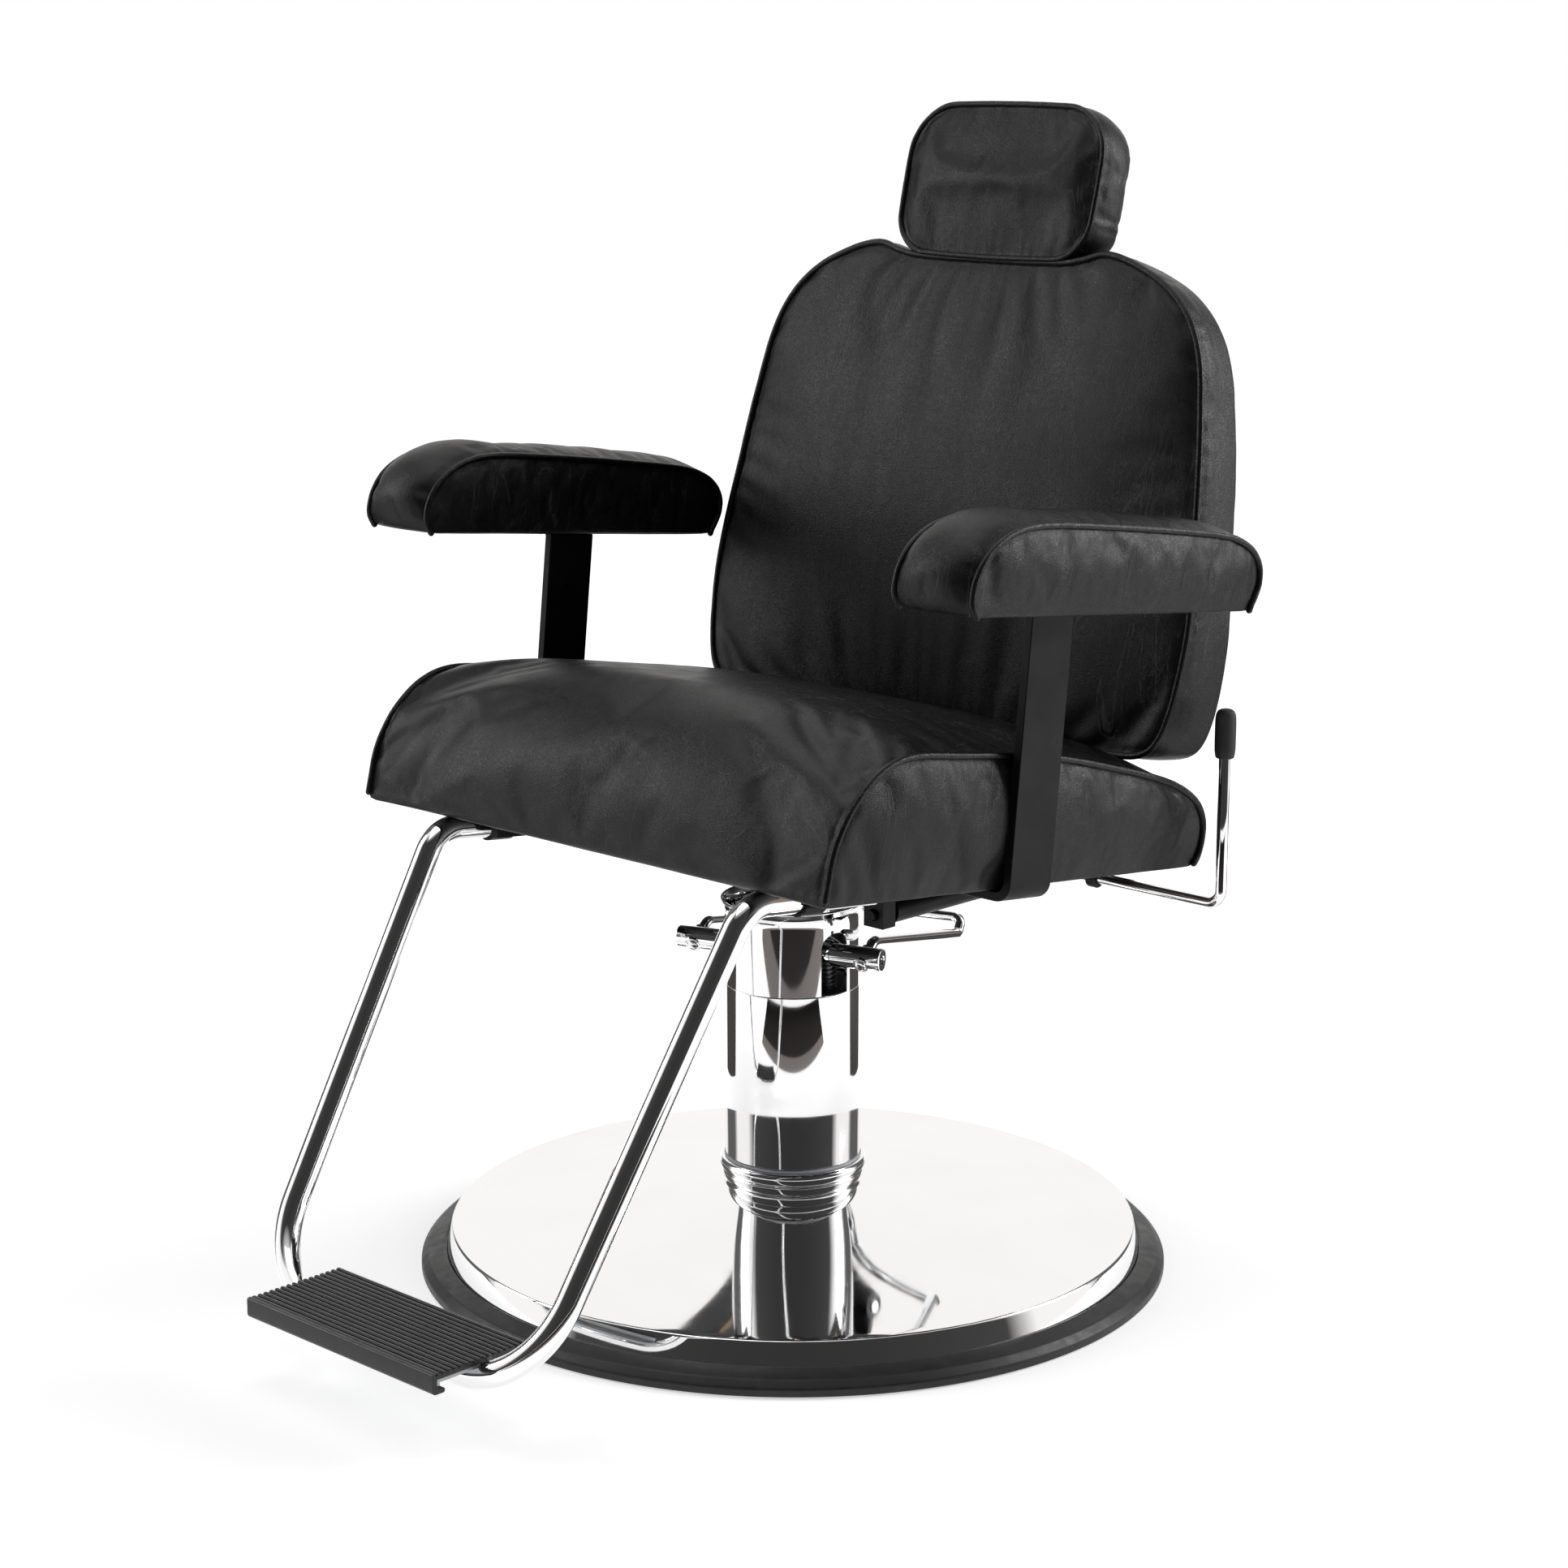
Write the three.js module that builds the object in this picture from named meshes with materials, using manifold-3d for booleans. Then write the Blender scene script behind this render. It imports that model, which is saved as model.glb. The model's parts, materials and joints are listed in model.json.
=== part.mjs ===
// A hydraulic barber chair: pump base, ram, swivelling seat with arms and footrest, reclining back, headrest.
// Millimetres, +Z up. The origin is the middle of the base on the floor; the sitter faces -Y, with +X on their left.
import * as THREE from "three";
import { mergeVertices } from "three/addons/utils/BufferGeometryUtils.js";
import Module from "manifold-3d";

const wasm = await Module();
wasm.setup();

// Clearances
const GAP = 0.3; // between pieces that rest on each other
const RUNNING = 0.4; // radial, between a shaft and its hole

// Base and column
const BASE_RADIUS = 330;
const RING_INNER = 308;
const DOME_EDGE_RADIUS = 302;
const DOME_EDGE_Z = 37;
const PLATE_RADIUS = 200;
const PLATE_THICKNESS = 6;
const PUMP_RADIUS = 54;
const FLANGE_RADIUS = 85;
const FLANGE_TOP = 16;
const BASE_BOLT_CIRCLE = 70;
const BOLT_RADIUS = 4;
const BOLT_HEAD_RADIUS = 7;
const COLLAR_Z = 70.5;
const GASKET_Z = 93;
const SLEEVE_RADIUS = 60;
const SLEEVE_Z = 96;
const SLEEVE_WALL = 2.2;
const SEAM_Z = 252;
const RIM_Z = 327.5;

// Pump, in a frame turned by PUMP_YAW about Z, with x along the cross shaft
const PUMP_YAW = THREE.MathUtils.degToRad(19);
const HEAD_Z = 240;
const HEAD_TOP = 250;
const SHAFT_Y = -27;
const SHAFT_Z = 287.5;
const SHAFT_RADIUS = 8; // where it runs through the head
const GRIP_RADIUS = 10; // outside the shroud
const GRIP_X = 50;
const SHAFT_HALF = 97;
const SLOT_HALF = 12.5;
const ARCH_Z = 294.5;
const HANDLE_HALF = 80;
const HANDLE_SLANT = THREE.MathUtils.degToRad(27);
const HANDLE_ROD = 5;
const CRANK_X = 36;
const CRANK_RADIUS = 22;
const PLUNGER_RADIUS = 5;
const PLUNGER_BOTTOM = 230;
const SPRING_TURNS = 6;

// Ram and swivel
const RAM_RADIUS = 17;
const RAM_BOTTOM = 45;
const SPINDLE_RADIUS = 11;
const SPINDLE_Z = 331;
const HUB_Z = 334.3;
const MOUNT_Z = 350;
const CROSS_BAR_Y = 50;

// Seat, in a frame tilted back by SEAT_TILT, with its origin on the seat's underside
const SEAT_TILT = THREE.MathUtils.degToRad(6.15);
const SEAT_Z = 385.6;
const SEAT_HALF = 271;
const BOARD_TOP = 11;
const RAIL_X = 160;
const RAIL_DEPTH = 18;
const RAIL_THICKNESS = 8;
const PIN_RADIUS = 6;
const EYE_RADIUS = 13;

// Arms, in the seat's frame
const ARM_INNER = 275;
const ARM_OUTER = 351;
const SUPPORT_X = 279;
const SUPPORT_THICKNESS = 8;
const SUPPORT_FRONT = -50;
const SUPPORT_WIDTH = 52;
const ARM_FLANGE_W = 230.3;

// Footrest
const TUBE_RADIUS = 11.1;
const TUBE_X = 185;
const TUBE_W = -12.5; // its upper runs lie under the seat board
const STRAP_U = -190;
const KNEE_BEND = 34;
const FOOT_BEND = 83;
const TUBE_FOOT = new THREE.Vector3(164, -463, 49.6);
const TREAD_HALF = 115;
const TREAD_FRONT = -515;
const TREAD_BACK = -420;
const TREAD_Z = 70;
const RIB_COUNT = 17;

// Back, in a frame tilted by BACK_TILT: x, t towards the rear, v up along the back
const BACK_TILT = THREE.MathUtils.degToRad(12);
const BACK_Y = 170;
const BACK_Z = 480;
const PIVOT = new THREE.Vector2(262, 366); // y, z of the recline hinge
const BACK_BOARD_T = 28;
const BACK_COVER_T = 62;
const ARM_STRIP_T = 41.3;
const HINGE_ARM_INNER = 118;
const HINGE_ARM_OUTER = 158;
const KNOB_V = 340;
const CRANK_ARM = 36;
const CRANK_LEAD = THREE.MathUtils.degToRad(22.5);
const CYLINDER_X = 104;
const CYLINDER_Z = 331.4;
const CYLINDER_RADIUS = 11;

// Recline lever
const LEVER_Y = 215;
const LEVER_Z = 334;
const LEVER_X = 301;
const LEVER_ROD = 5;

const LEATHER = { color: 0x141314, roughness: 0.38, metalness: 0 };
const CHROME = { color: 0xdfe2e6, roughness: 0.08, metalness: 1 };
const STEEL = { color: 0x6b6e72, roughness: 0.45, metalness: 1 };
const BLACK_STEEL = { color: 0x111112, roughness: 0.5, metalness: 0.3 };
const RUBBER = { color: 0x1b1b1c, roughness: 0.8, metalness: 0 };
const PLYWOOD = { color: 0x8a6a45, roughness: 0.8, metalness: 0 };
const SEAL = { color: 0xb9bdc2, roughness: 0.6, metalness: 0 };

const chair = new THREE.Group();
const pump = new THREE.Group();
pump.rotation.z = PUMP_YAW;
const seat = new THREE.Group();
seat.position.z = SEAT_Z;
seat.rotation.x = -SEAT_TILT;
const back = new THREE.Group();
back.position.set(0, BACK_Y, BACK_Z);
back.rotation.x = -BACK_TILT;
chair.add(pump, seat, back);

function add(group, name, geometry, look) {
  const mesh = new THREE.Mesh(geometry, new THREE.MeshStandardMaterial(look));
  mesh.name = name;
  group.add(mesh);
}

// The two distances from the middle to one side's faces, in rising order.
function between(side, a, b) {
  return [side * a, side * b].sort((p, q) => p - q);
}

// Shapes ------------------------------------------------------------------

function box(x0, x1, y0, y1, z0, z1) {
  const geometry = new THREE.BoxGeometry(x1 - x0, y1 - y0, z1 - z0);
  return geometry.translate((x0 + x1) / 2, (y0 + y1) / 2, (z0 + z1) / 2);
}

// A solid of revolution about Z; the profile is a list of [radius, z].
function turned(profile, segments = 36) {
  const points = profile.map(([r, z]) => new THREE.Vector2(r, z));
  return new THREE.LatheGeometry(points, segments).rotateX(Math.PI / 2);
}

// A round bar along the axis "x", "y" or "z", from a to b, centred on the other two coordinates.
function bar(axis, radius, a, b, centre, sides = 20) {
  const geometry = new THREE.CylinderGeometry(radius, radius, b - a, sides);
  const middle = (a + b) / 2;
  if (axis === "x") {
    return geometry.rotateZ(Math.PI / 2).translate(middle, centre[0], centre[1]);
  }
  if (axis === "y") {
    return geometry.translate(centre[0], middle, centre[1]);
  }
  return geometry.rotateX(Math.PI / 2).translate(centre[0], centre[1], middle);
}

function polygon(points) {
  return new THREE.Shape(points.map(([a, b]) => new THREE.Vector2(a, b)));
}

function extruded(shape, depth, curveSegments) {
  return new THREE.ExtrudeGeometry(shape, { depth, bevelEnabled: false, curveSegments });
}

// A side-view shape (y, z) carried along X from x0 to x1.
function sideways(shape, x0, x1, curveSegments = 8) {
  const turn = new THREE.Matrix4().makeBasis(
    new THREE.Vector3(0, 1, 0),
    new THREE.Vector3(0, 0, 1),
    new THREE.Vector3(1, 0, 0),
  );
  return extruded(shape, x1 - x0, curveSegments).applyMatrix4(turn).translate(x0, 0, 0);
}

// A front-view shape (x, z) carried along Y from y0 to y1.
function forwards(shape, y0, y1, curveSegments = 8) {
  return extruded(shape, y1 - y0, curveSegments).rotateX(Math.PI / 2).translate(0, y1, 0);
}

// A flat bar of even thickness along a polyline, as a side-view polygon with mitred bends.
function strip(points, thickness) {
  const path = points.map(([a, b]) => new THREE.Vector2(a, b));
  const edge = (side) =>
    path.map((point, i) => {
      const before = point.clone().sub(path[Math.max(i - 1, 0)]).normalize();
      const after = path[Math.min(i + 1, path.length - 1)].clone().sub(point).normalize();
      const along = before.clone().add(after).normalize();
      const normal = new THREE.Vector2(-along.y, along.x);
      const reference = i === 0 ? after : before;
      const mitre = 1 / Math.abs(normal.dot(new THREE.Vector2(-reference.y, reference.x)));
      return point.clone().addScaledVector(normal, (side * thickness * mitre) / 2);
    });
  return new THREE.Shape([...edge(1), ...edge(-1).reverse()]);
}

// A circular bend from one point, turning by an angle about an axis through its centre.
class Bend extends THREE.Curve {
  constructor(centre, start, axis, angle) {
    super();
    Object.assign(this, { centre, spoke: start.clone().sub(centre), axis, angle });
  }

  getPoint(t, target = new THREE.Vector3()) {
    return target.copy(this.spoke).applyAxisAngle(this.axis, this.angle * t).add(this.centre);
  }
}

// Straight runs between corner points, joined by bends: one radius for all, or one for each inner corner.
function bentPath(corners, bends) {
  const path = new THREE.CurvePath();
  let from = corners[0];
  for (let i = 1; i < corners.length - 1; i += 1) {
    const inward = corners[i].clone().sub(corners[i - 1]).normalize();
    const outward = corners[i + 1].clone().sub(corners[i]).normalize();
    const angle = inward.angleTo(outward);
    const radius = Array.isArray(bends) ? bends[i - 1] : bends;
    const setback = radius * Math.tan(angle / 2);
    const start = corners[i].clone().addScaledVector(inward, -setback);
    const axis = inward.clone().cross(outward).normalize();
    const centre = start.clone().addScaledVector(axis.clone().cross(inward), radius);
    const bend = new Bend(centre, start, axis, angle);
    path.add(new THREE.LineCurve3(from, start));
    path.add(bend);
    from = bend.getPoint(1);
  }
  path.add(new THREE.LineCurve3(from, corners[corners.length - 1]));
  return path;
}

function rod(path, radius, steps, sides) {
  const section = new THREE.Shape().absarc(0, 0, radius, 0, Math.PI * 2);
  return new THREE.ExtrudeGeometry(section, { extrudePath: path, steps, curveSegments: sides });
}

// Booleans ----------------------------------------------------------------

function solid(geometry) {
  const bare = geometry.clone();
  bare.deleteAttribute("normal");
  bare.deleteAttribute("uv");
  const merged = mergeVertices(bare, 1e-3);
  return new wasm.Manifold(
    new wasm.Mesh({
      numProp: 3,
      vertProperties: merged.attributes.position.array,
      triVerts: new Uint32Array(merged.index.array),
    }),
  );
}

function carve(base, { join = [], cut = [] }) {
  let result = solid(base);
  for (const piece of join) {
    result = result.add(solid(piece));
  }
  for (const piece of cut) {
    result = result.subtract(solid(piece));
  }
  const mesh = result.getMesh();
  const geometry = new THREE.BufferGeometry();
  geometry.setAttribute("position", new THREE.BufferAttribute(mesh.vertProperties, 3));
  geometry.setIndex(new THREE.BufferAttribute(mesh.triVerts, 1));
  return geometry;
}

// Base --------------------------------------------------------------------

const SIDES = [
  ["left", -1],
  ["right", 1],
];
const QUARTERS = [1, 3, 5, 7].map((k) => (k * Math.PI) / 4);
const onCircle = (radius, angle) => [radius * Math.cos(angle), radius * Math.sin(angle)];

function basePlate() {
  const disc = turned([
    [0, 0],
    [PLATE_RADIUS, 0],
    [PLATE_RADIUS, PLATE_THICKNESS],
    [0, PLATE_THICKNESS],
  ]);
  const hole = (a) => bar("z", BOLT_RADIUS + RUNNING, 1.5, 7, onCircle(BASE_BOLT_CIRCLE, a), 12);
  return carve(disc, { cut: QUARTERS.map(hole) });
}

function baseRing() {
  return turned(
    [
      [RING_INNER, 0],
      [BASE_RADIUS, 0],
      [BASE_RADIUS, 5],
      [BASE_RADIUS - 4, 11],
      [BASE_RADIUS - 12, 15.5],
      [RING_INNER, 18],
      [RING_INNER, 0],
    ],
    72,
  );
}

// A shallow cone that sweeps up to the collar.
function domeHeight(r) {
  const sweep = 10.7 * (Math.exp((62 - r) / 45) - Math.exp((62 - DOME_EDGE_RADIUS) / 45));
  return DOME_EDGE_Z + 0.095 * (DOME_EDGE_RADIUS - r) + sweep;
}

// A pressed sheet: the rows of the profile run out along the top face and back along the underside.
function baseDome() {
  const slope = [64, 90, 140, 220, DOME_EDGE_RADIUS].map((r) => [r, domeHeight(r)]);
  const top = [[57, 70.2], ...slope, [RING_INNER - 0.6, 15]];
  const under = [[RING_INNER - 2.6, 15], ...slope.reverse().map(([r, z]) => [r - 1.8, z - 2]), [57, 67.8]];
  return turned([...top, ...under, top[0]].reverse(), 72);
}

function baseCollar() {
  return turned([
    [PUMP_RADIUS + 1, COLLAR_Z],
    [58, COLLAR_Z],
    [61.5, 75],
    [63, 80],
    [62.2, 81.3],
    [64.4, 84],
    [65, 88],
    [63, 92],
    [PUMP_RADIUS + 1, GASKET_Z - GAP],
    [PUMP_RADIUS + 1, COLLAR_Z],
  ]);
}

function ring(inner, outer, z0, z1, segments) {
  const profile = [
    [inner, z0],
    [outer, z0],
    [outer, z1],
    [inner, z1],
    [inner, z0],
  ];
  return turned(profile, segments);
}

function upperShroud() {
  const inner = SLEEVE_RADIUS - SLEEVE_WALL;
  const shell = turned([
    [inner, SEAM_Z],
    [SLEEVE_RADIUS, SEAM_Z],
    [SLEEVE_RADIUS, 316],
    [61.2, 321.5],
    [63.5, 325.5],
    [63, RIM_Z],
    [60, RIM_Z],
    [inner + 0.6, 321.5],
    [inner, 316],
    [inner, SEAM_Z],
  ]).rotateZ(-PUMP_YAW);
  const across = [SHAFT_Y - SLOT_HALF, SHAFT_Y + SLOT_HALF];
  const slot = box(-80, 80, ...across, SEAM_Z - 5, ARCH_Z);
  const arch = bar("x", SLOT_HALF, -80, 80, [SHAFT_Y, ARCH_Z], 24);
  return carve(shell, { cut: [slot, arch] });
}

function pumpBody() {
  const body = turned([
    [0, PLATE_THICKNESS + GAP],
    [FLANGE_RADIUS, PLATE_THICKNESS + GAP],
    [FLANGE_RADIUS, FLANGE_TOP],
    [PUMP_RADIUS, FLANGE_TOP],
    [PUMP_RADIUS, HEAD_Z - GAP],
    [RAM_RADIUS + RUNNING, HEAD_Z - GAP],
    [RAM_RADIUS + RUNNING, RAM_BOTTOM - 10],
    [0, RAM_BOTTOM - 10],
  ]);
  const bolts = QUARTERS.map((a) =>
    bar("z", BOLT_RADIUS + RUNNING, 0, 20, onCircle(BASE_BOLT_CIRCLE, a - PUMP_YAW), 12),
  );
  return carve(body, { cut: [...bolts, plungerBore(HEAD_Z)] });
}

function plungerBore(top) {
  const centre = [CRANK_X, SHAFT_Y + CRANK_RADIUS];
  return bar("z", PLUNGER_RADIUS + RUNNING, PLUNGER_BOTTOM - 14, top + 1, centre, 16);
}

function pumpHead() {
  const disc = ring(RAM_RADIUS + RUNNING, PUMP_RADIUS, HEAD_Z, HEAD_TOP);
  const lugs = SIDES.flatMap(([, side]) => {
    const [a, b] = between(side, 20, 28);
    return [
      box(a, b, SHAFT_Y - 12, SHAFT_Y + 12, HEAD_TOP - 1, SHAFT_Z),
      bar("x", 12, a, b, [SHAFT_Y, SHAFT_Z], 20),
    ];
  });
  const shaftBore = bar("x", SHAFT_RADIUS + RUNNING, -60, 60, [SHAFT_Y, SHAFT_Z], 24);
  return carve(disc, { join: lugs, cut: [shaftBore, plungerBore(HEAD_TOP)] });
}

function baseBolt(angle) {
  const centre = onCircle(BASE_BOLT_CIRCLE, angle);
  const shank = bar("z", BOLT_RADIUS, 2, FLANGE_TOP + 1, centre, 12);
  const head = bar("z", BOLT_HEAD_RADIUS, FLANGE_TOP + GAP, FLANGE_TOP + 6, centre, 6);
  return carve(shank, { join: [head] });
}

function plunger() {
  const roller = SHAFT_Z - 6;
  const profile = [
    [0, PLUNGER_BOTTOM],
    [PLUNGER_RADIUS, PLUNGER_BOTTOM],
    [PLUNGER_RADIUS, roller - 5],
    [9, roller - 5],
    [9, roller - 1],
    [0, roller - 1],
  ];
  return turned(profile, 16).translate(CRANK_X, SHAFT_Y + CRANK_RADIUS, 0);
}

class Helix extends THREE.Curve {
  constructor(radius, z0, z1, turns) {
    super();
    Object.assign(this, { radius, z0, z1, turns });
  }

  getPoint(t, target = new THREE.Vector3()) {
    const angle = t * this.turns * Math.PI * 2;
    const z = this.z0 + t * (this.z1 - this.z0);
    return target.set(this.radius * Math.cos(angle), this.radius * Math.sin(angle), z);
  }
}

function returnSpring() {
  const path = new Helix(7.2, HEAD_TOP + 1.2, SHAFT_Z - 12.2, SPRING_TURNS);
  return rod(path, 0.8, SPRING_TURNS * 8, 2).translate(CRANK_X, SHAFT_Y + CRANK_RADIUS, 0);
}

add(chair, "base_plate", basePlate(), STEEL);
add(chair, "base_ring", baseRing(), RUBBER);
add(chair, "base_dome", baseDome(), CHROME);
add(chair, "base_collar", baseCollar(), CHROME);
add(chair, "collar_gasket", ring(PUMP_RADIUS + 1, 60.6, GASKET_Z, SLEEVE_Z - GAP), SEAL);
const sleeve = ring(SLEEVE_RADIUS - SLEEVE_WALL, SLEEVE_RADIUS, SLEEVE_Z, SEAM_Z - GAP);
add(chair, "lower_sleeve", sleeve, CHROME);
add(pump, "upper_shroud", upperShroud(), CHROME);
add(pump, "pump_body", pumpBody(), STEEL);
add(pump, "pump_head", pumpHead(), STEEL);
add(pump, "ram_gland", ring(RAM_RADIUS + RUNNING, 22, HEAD_TOP + GAP, 258), STEEL);
add(pump, "return_spring", returnSpring(), STEEL);
add(pump, "plunger", plunger(), STEEL);
QUARTERS.forEach((angle, i) => add(chair, `base_bolt_${i + 1}`, baseBolt(angle), STEEL));

// Foot pump lever -----------------------------------------------------------

// The leg's lower end lies in a hole that slants through the shaft, rising towards the rear.
function slanted(radius, x, reach) {
  const hole = bar("y", radius, -reach, reach, [0, 0], 16).rotateX(HANDLE_SLANT);
  return hole.translate(x, SHAFT_Y, SHAFT_Z);
}

function crossShaft() {
  const shaft = bar("x", SHAFT_RADIUS, -SHAFT_HALF + 1, SHAFT_HALF - 1, [SHAFT_Y, SHAFT_Z], 24);
  const grips = SIDES.map(([, side]) =>
    bar("x", GRIP_RADIUS, ...between(side, GRIP_X, SHAFT_HALF), [SHAFT_Y, SHAFT_Z], 28),
  );
  const arm = box(CRANK_X - 5, CRANK_X + 5, SHAFT_Y, SHAFT_Y + CRANK_RADIUS, SHAFT_Z - 4, SHAFT_Z + 4);
  const roller = bar("x", 6, CRANK_X - 5, CRANK_X + 5, [SHAFT_Y + CRANK_RADIUS, SHAFT_Z], 16);
  const holes = SIDES.map(([, side]) => slanted(HANDLE_ROD + RUNNING, side * HANDLE_HALF, 16));
  return carve(shaft, { join: [arm, roller, ...grips], cut: holes });
}

function pumpHandle() {
  const half = [
    new THREE.Vector3(HANDLE_HALF, -9.4, -4.8),
    new THREE.Vector3(HANDLE_HALF, 19.6, 10),
    new THREE.Vector3(HANDLE_HALF, 214, -31),
    new THREE.Vector3(HANDLE_HALF, 224, -18),
  ];
  const other = half.map((p) => p.clone().setX(-p.x)).reverse();
  const path = bentPath([...half, ...other], [14, 7, 9, 9, 7, 14]);
  return rod(path, HANDLE_ROD, 64, 4).translate(0, SHAFT_Y, SHAFT_Z);
}

add(pump, "cross_shaft", crossShaft(), CHROME);
add(pump, "pump_handle", pumpHandle(), CHROME);

// Ram and seat frame ----------------------------------------------------------

const PLATE_BOLTS = [-1, 1].flatMap((a) => [-1, 1].map((b) => [70 * a, CROSS_BAR_Y * b]));

function ram() {
  return turned(
    [
      [0, RAM_BOTTOM],
      [RAM_RADIUS, RAM_BOTTOM],
      [RAM_RADIUS, SPINDLE_Z],
      [SPINDLE_RADIUS, SPINDLE_Z],
      [SPINDLE_RADIUS, MOUNT_Z - 1],
      [0, MOUNT_Z - 1],
    ],
    32,
  ).rotateZ(PUMP_YAW);
}

// The plate carries a welded tab that holds the front end of the recline cylinder.
function mountingPlate() {
  const quarter = [[116, 28], [84, 62]];
  const rear = [...quarter, ...quarter.map(([x, y]) => [-x, y]).reverse()];
  const outline = [...rear, ...rear.map(([x, y]) => [x, -y]).reverse()];
  const plate = extruded(polygon(outline), PLATE_THICKNESS, 1).translate(0, 0, MOUNT_Z);
  const tab = box(CYLINDER_X - 11, CYLINDER_X + 11, -10, 6, CYLINDER_Z - 11, MOUNT_Z + 1);
  const bore = bar("y", 5 + RUNNING, -20, 20, [CYLINDER_X, CYLINDER_Z], 16);
  const holes = PLATE_BOLTS.map((p) => bar("z", BOLT_RADIUS + RUNNING, MOUNT_Z - 5, MOUNT_Z + 20, p, 12));
  return carve(plate, { join: [tab], cut: [bore, ...holes] });
}

// Its underside rises towards the rails at both ends.
function crossBar(y, top) {
  const bottom = MOUNT_Z + PLATE_THICKNESS + GAP;
  const end = RAIL_X - GAP;
  const outline = [[-end, 372], [-100, bottom], [100, bottom], [end, 372], [end, top], [-end, top]];
  const beam = forwards(polygon(outline), y - 12, y + 12);
  const holes = PLATE_BOLTS.filter((p) => p[1] === y).map((p) =>
    bar("z", BOLT_RADIUS + RUNNING, bottom - 5, 369, p, 12),
  );
  return carve(beam, { cut: holes });
}

function plateBolt(centre) {
  const shank = bar("z", BOLT_RADIUS, MOUNT_Z - 3, 367, centre, 12);
  const head = bar("z", BOLT_HEAD_RADIUS, MOUNT_Z - 6, MOUNT_Z - GAP, centre, 6);
  return carve(shank, { join: [head] });
}

// The rail's top edge follows the underside of the tilted seat board.
function rail(side) {
  const [x0, x1] = between(side, RAIL_X, RAIL_X + RAIL_THICKNESS);
  const topAt = (y) => SEAT_Z - 1.5 - y * Math.tan(SEAT_TILT);
  const beam = polygon([
    [-200, topAt(-200) - RAIL_DEPTH],
    [205, topAt(205) - RAIL_DEPTH],
    [205, topAt(205)],
    [-200, topAt(-200)],
  ]);
  const neck = polygon([
    [198, 342],
    [240, 342],
    [266, 353.6],
    [250, 371],
    [232, 352],
    [198, 352],
  ]);
  const join = [sideways(neck, x0, x1), bar("x", EYE_RADIUS, x0, x1, [PIVOT.x, PIVOT.y], 24)];
  const cut = [bar("x", PIN_RADIUS + RUNNING, x0 - 1, x1 + 1, [PIVOT.x, PIVOT.y], 20)];
  if (side > 0) {
    join.push(box(x0, x1, LEVER_Y - 9, LEVER_Y + 9, LEVER_Z, 345));
    join.push(bar("x", 9, x0, x1, [LEVER_Y, LEVER_Z], 24));
    cut.push(bar("x", LEVER_ROD + RUNNING, x0 - 1, x1 + 1, [LEVER_Y, LEVER_Z], 20));
  }
  return carve(sideways(beam, x0, x1), { join, cut });
}

function hingePin(side) {
  const centre = [PIVOT.x, PIVOT.y];
  const outside = RAIL_X + RAIL_THICKNESS + GAP;
  const head = bar("x", 10, ...between(side, outside, outside + 6), centre, 20);
  const shank = bar("x", PIN_RADIUS, ...between(side, HINGE_ARM_INNER - 2, outside + 2), centre, 20);
  return carve(shank, { join: [head] });
}

add(chair, "ram", ram(), CHROME);
add(chair, "swivel_washer", ring(SPINDLE_RADIUS + RUNNING, 26, SPINDLE_Z + GAP, HUB_Z - GAP, 32), STEEL);
add(chair, "seat_hub", ring(SPINDLE_RADIUS + RUNNING, 30, HUB_Z, MOUNT_Z - GAP, 32), STEEL);
add(chair, "mounting_plate", mountingPlate(), BLACK_STEEL);
PLATE_BOLTS.forEach((centre, i) => add(chair, `plate_bolt_${i + 1}`, plateBolt(centre), STEEL));
add(chair, "cross_bar_front", crossBar(-CROSS_BAR_Y, 386), BLACK_STEEL);
add(chair, "cross_bar_rear", crossBar(CROSS_BAR_Y, 376), BLACK_STEEL);
for (const [name, side] of SIDES) {
  add(chair, `rail_${name}`, rail(side), BLACK_STEEL);
  add(chair, `hinge_pin_${name}`, hingePin(side), STEEL);
}

// Seat and arms -----------------------------------------------------------------

function seatProfile(bottom) {
  const shape = new THREE.Shape();
  shape.moveTo(-249, bottom);
  shape.bezierCurveTo(-239, 63, -211, 112, -156, 112);
  shape.lineTo(180, 72);
  shape.bezierCurveTo(216, 65, 232, 34, 216, bottom);
  return shape;
}

function armProfile(bottom) {
  const shape = new THREE.Shape();
  shape.moveTo(-202, bottom);
  shape.bezierCurveTo(-206, 268, -174, 300, -113, 300);
  shape.lineTo(105, 292);
  shape.bezierCurveTo(140, 290, 170, 262, 156, bottom);
  return shape;
}

// One flat bar: under the seat, up past its side, and out under the arm pad.
function armSupport(side) {
  const middle = SUPPORT_X + SUPPORT_THICKNESS / 2;
  const under = -1 - GAP - SUPPORT_THICKNESS / 2;
  const top = ARM_FLANGE_W + SUPPORT_THICKNESS / 2;
  const line = [
    [176, under],
    [middle - 8, under],
    [middle - 2.4, under + 2.4],
    [middle, under + 8],
    [middle, top],
    [325, top],
  ];
  const shape = strip(line.map(([x, w]) => [side * x, w]), SUPPORT_THICKNESS);
  return forwards(shape, SUPPORT_FRONT, SUPPORT_FRONT + SUPPORT_WIDTH);
}

add(seat, "seat_board", box(-240, 240, -222, 200, -1, BOARD_TOP), PLYWOOD);
add(seat, "seat_cushion", sideways(seatProfile(BOARD_TOP + GAP), -SEAT_HALF, SEAT_HALF), LEATHER);
for (const [name, side] of SIDES) {
  const boardW = ARM_FLANGE_W + SUPPORT_THICKNESS + GAP;
  const padShape = armProfile(boardW + 8);
  add(seat, `arm_support_${name}`, armSupport(side), BLACK_STEEL);
  add(seat, `arm_board_${name}`, box(...between(side, 283, 343), -178, 132, boardW, boardW + 7.4), PLYWOOD);
  add(seat, `arm_pad_${name}`, sideways(padShape, ...between(side, ARM_INNER, ARM_OUTER)), LEATHER);
}

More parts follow.
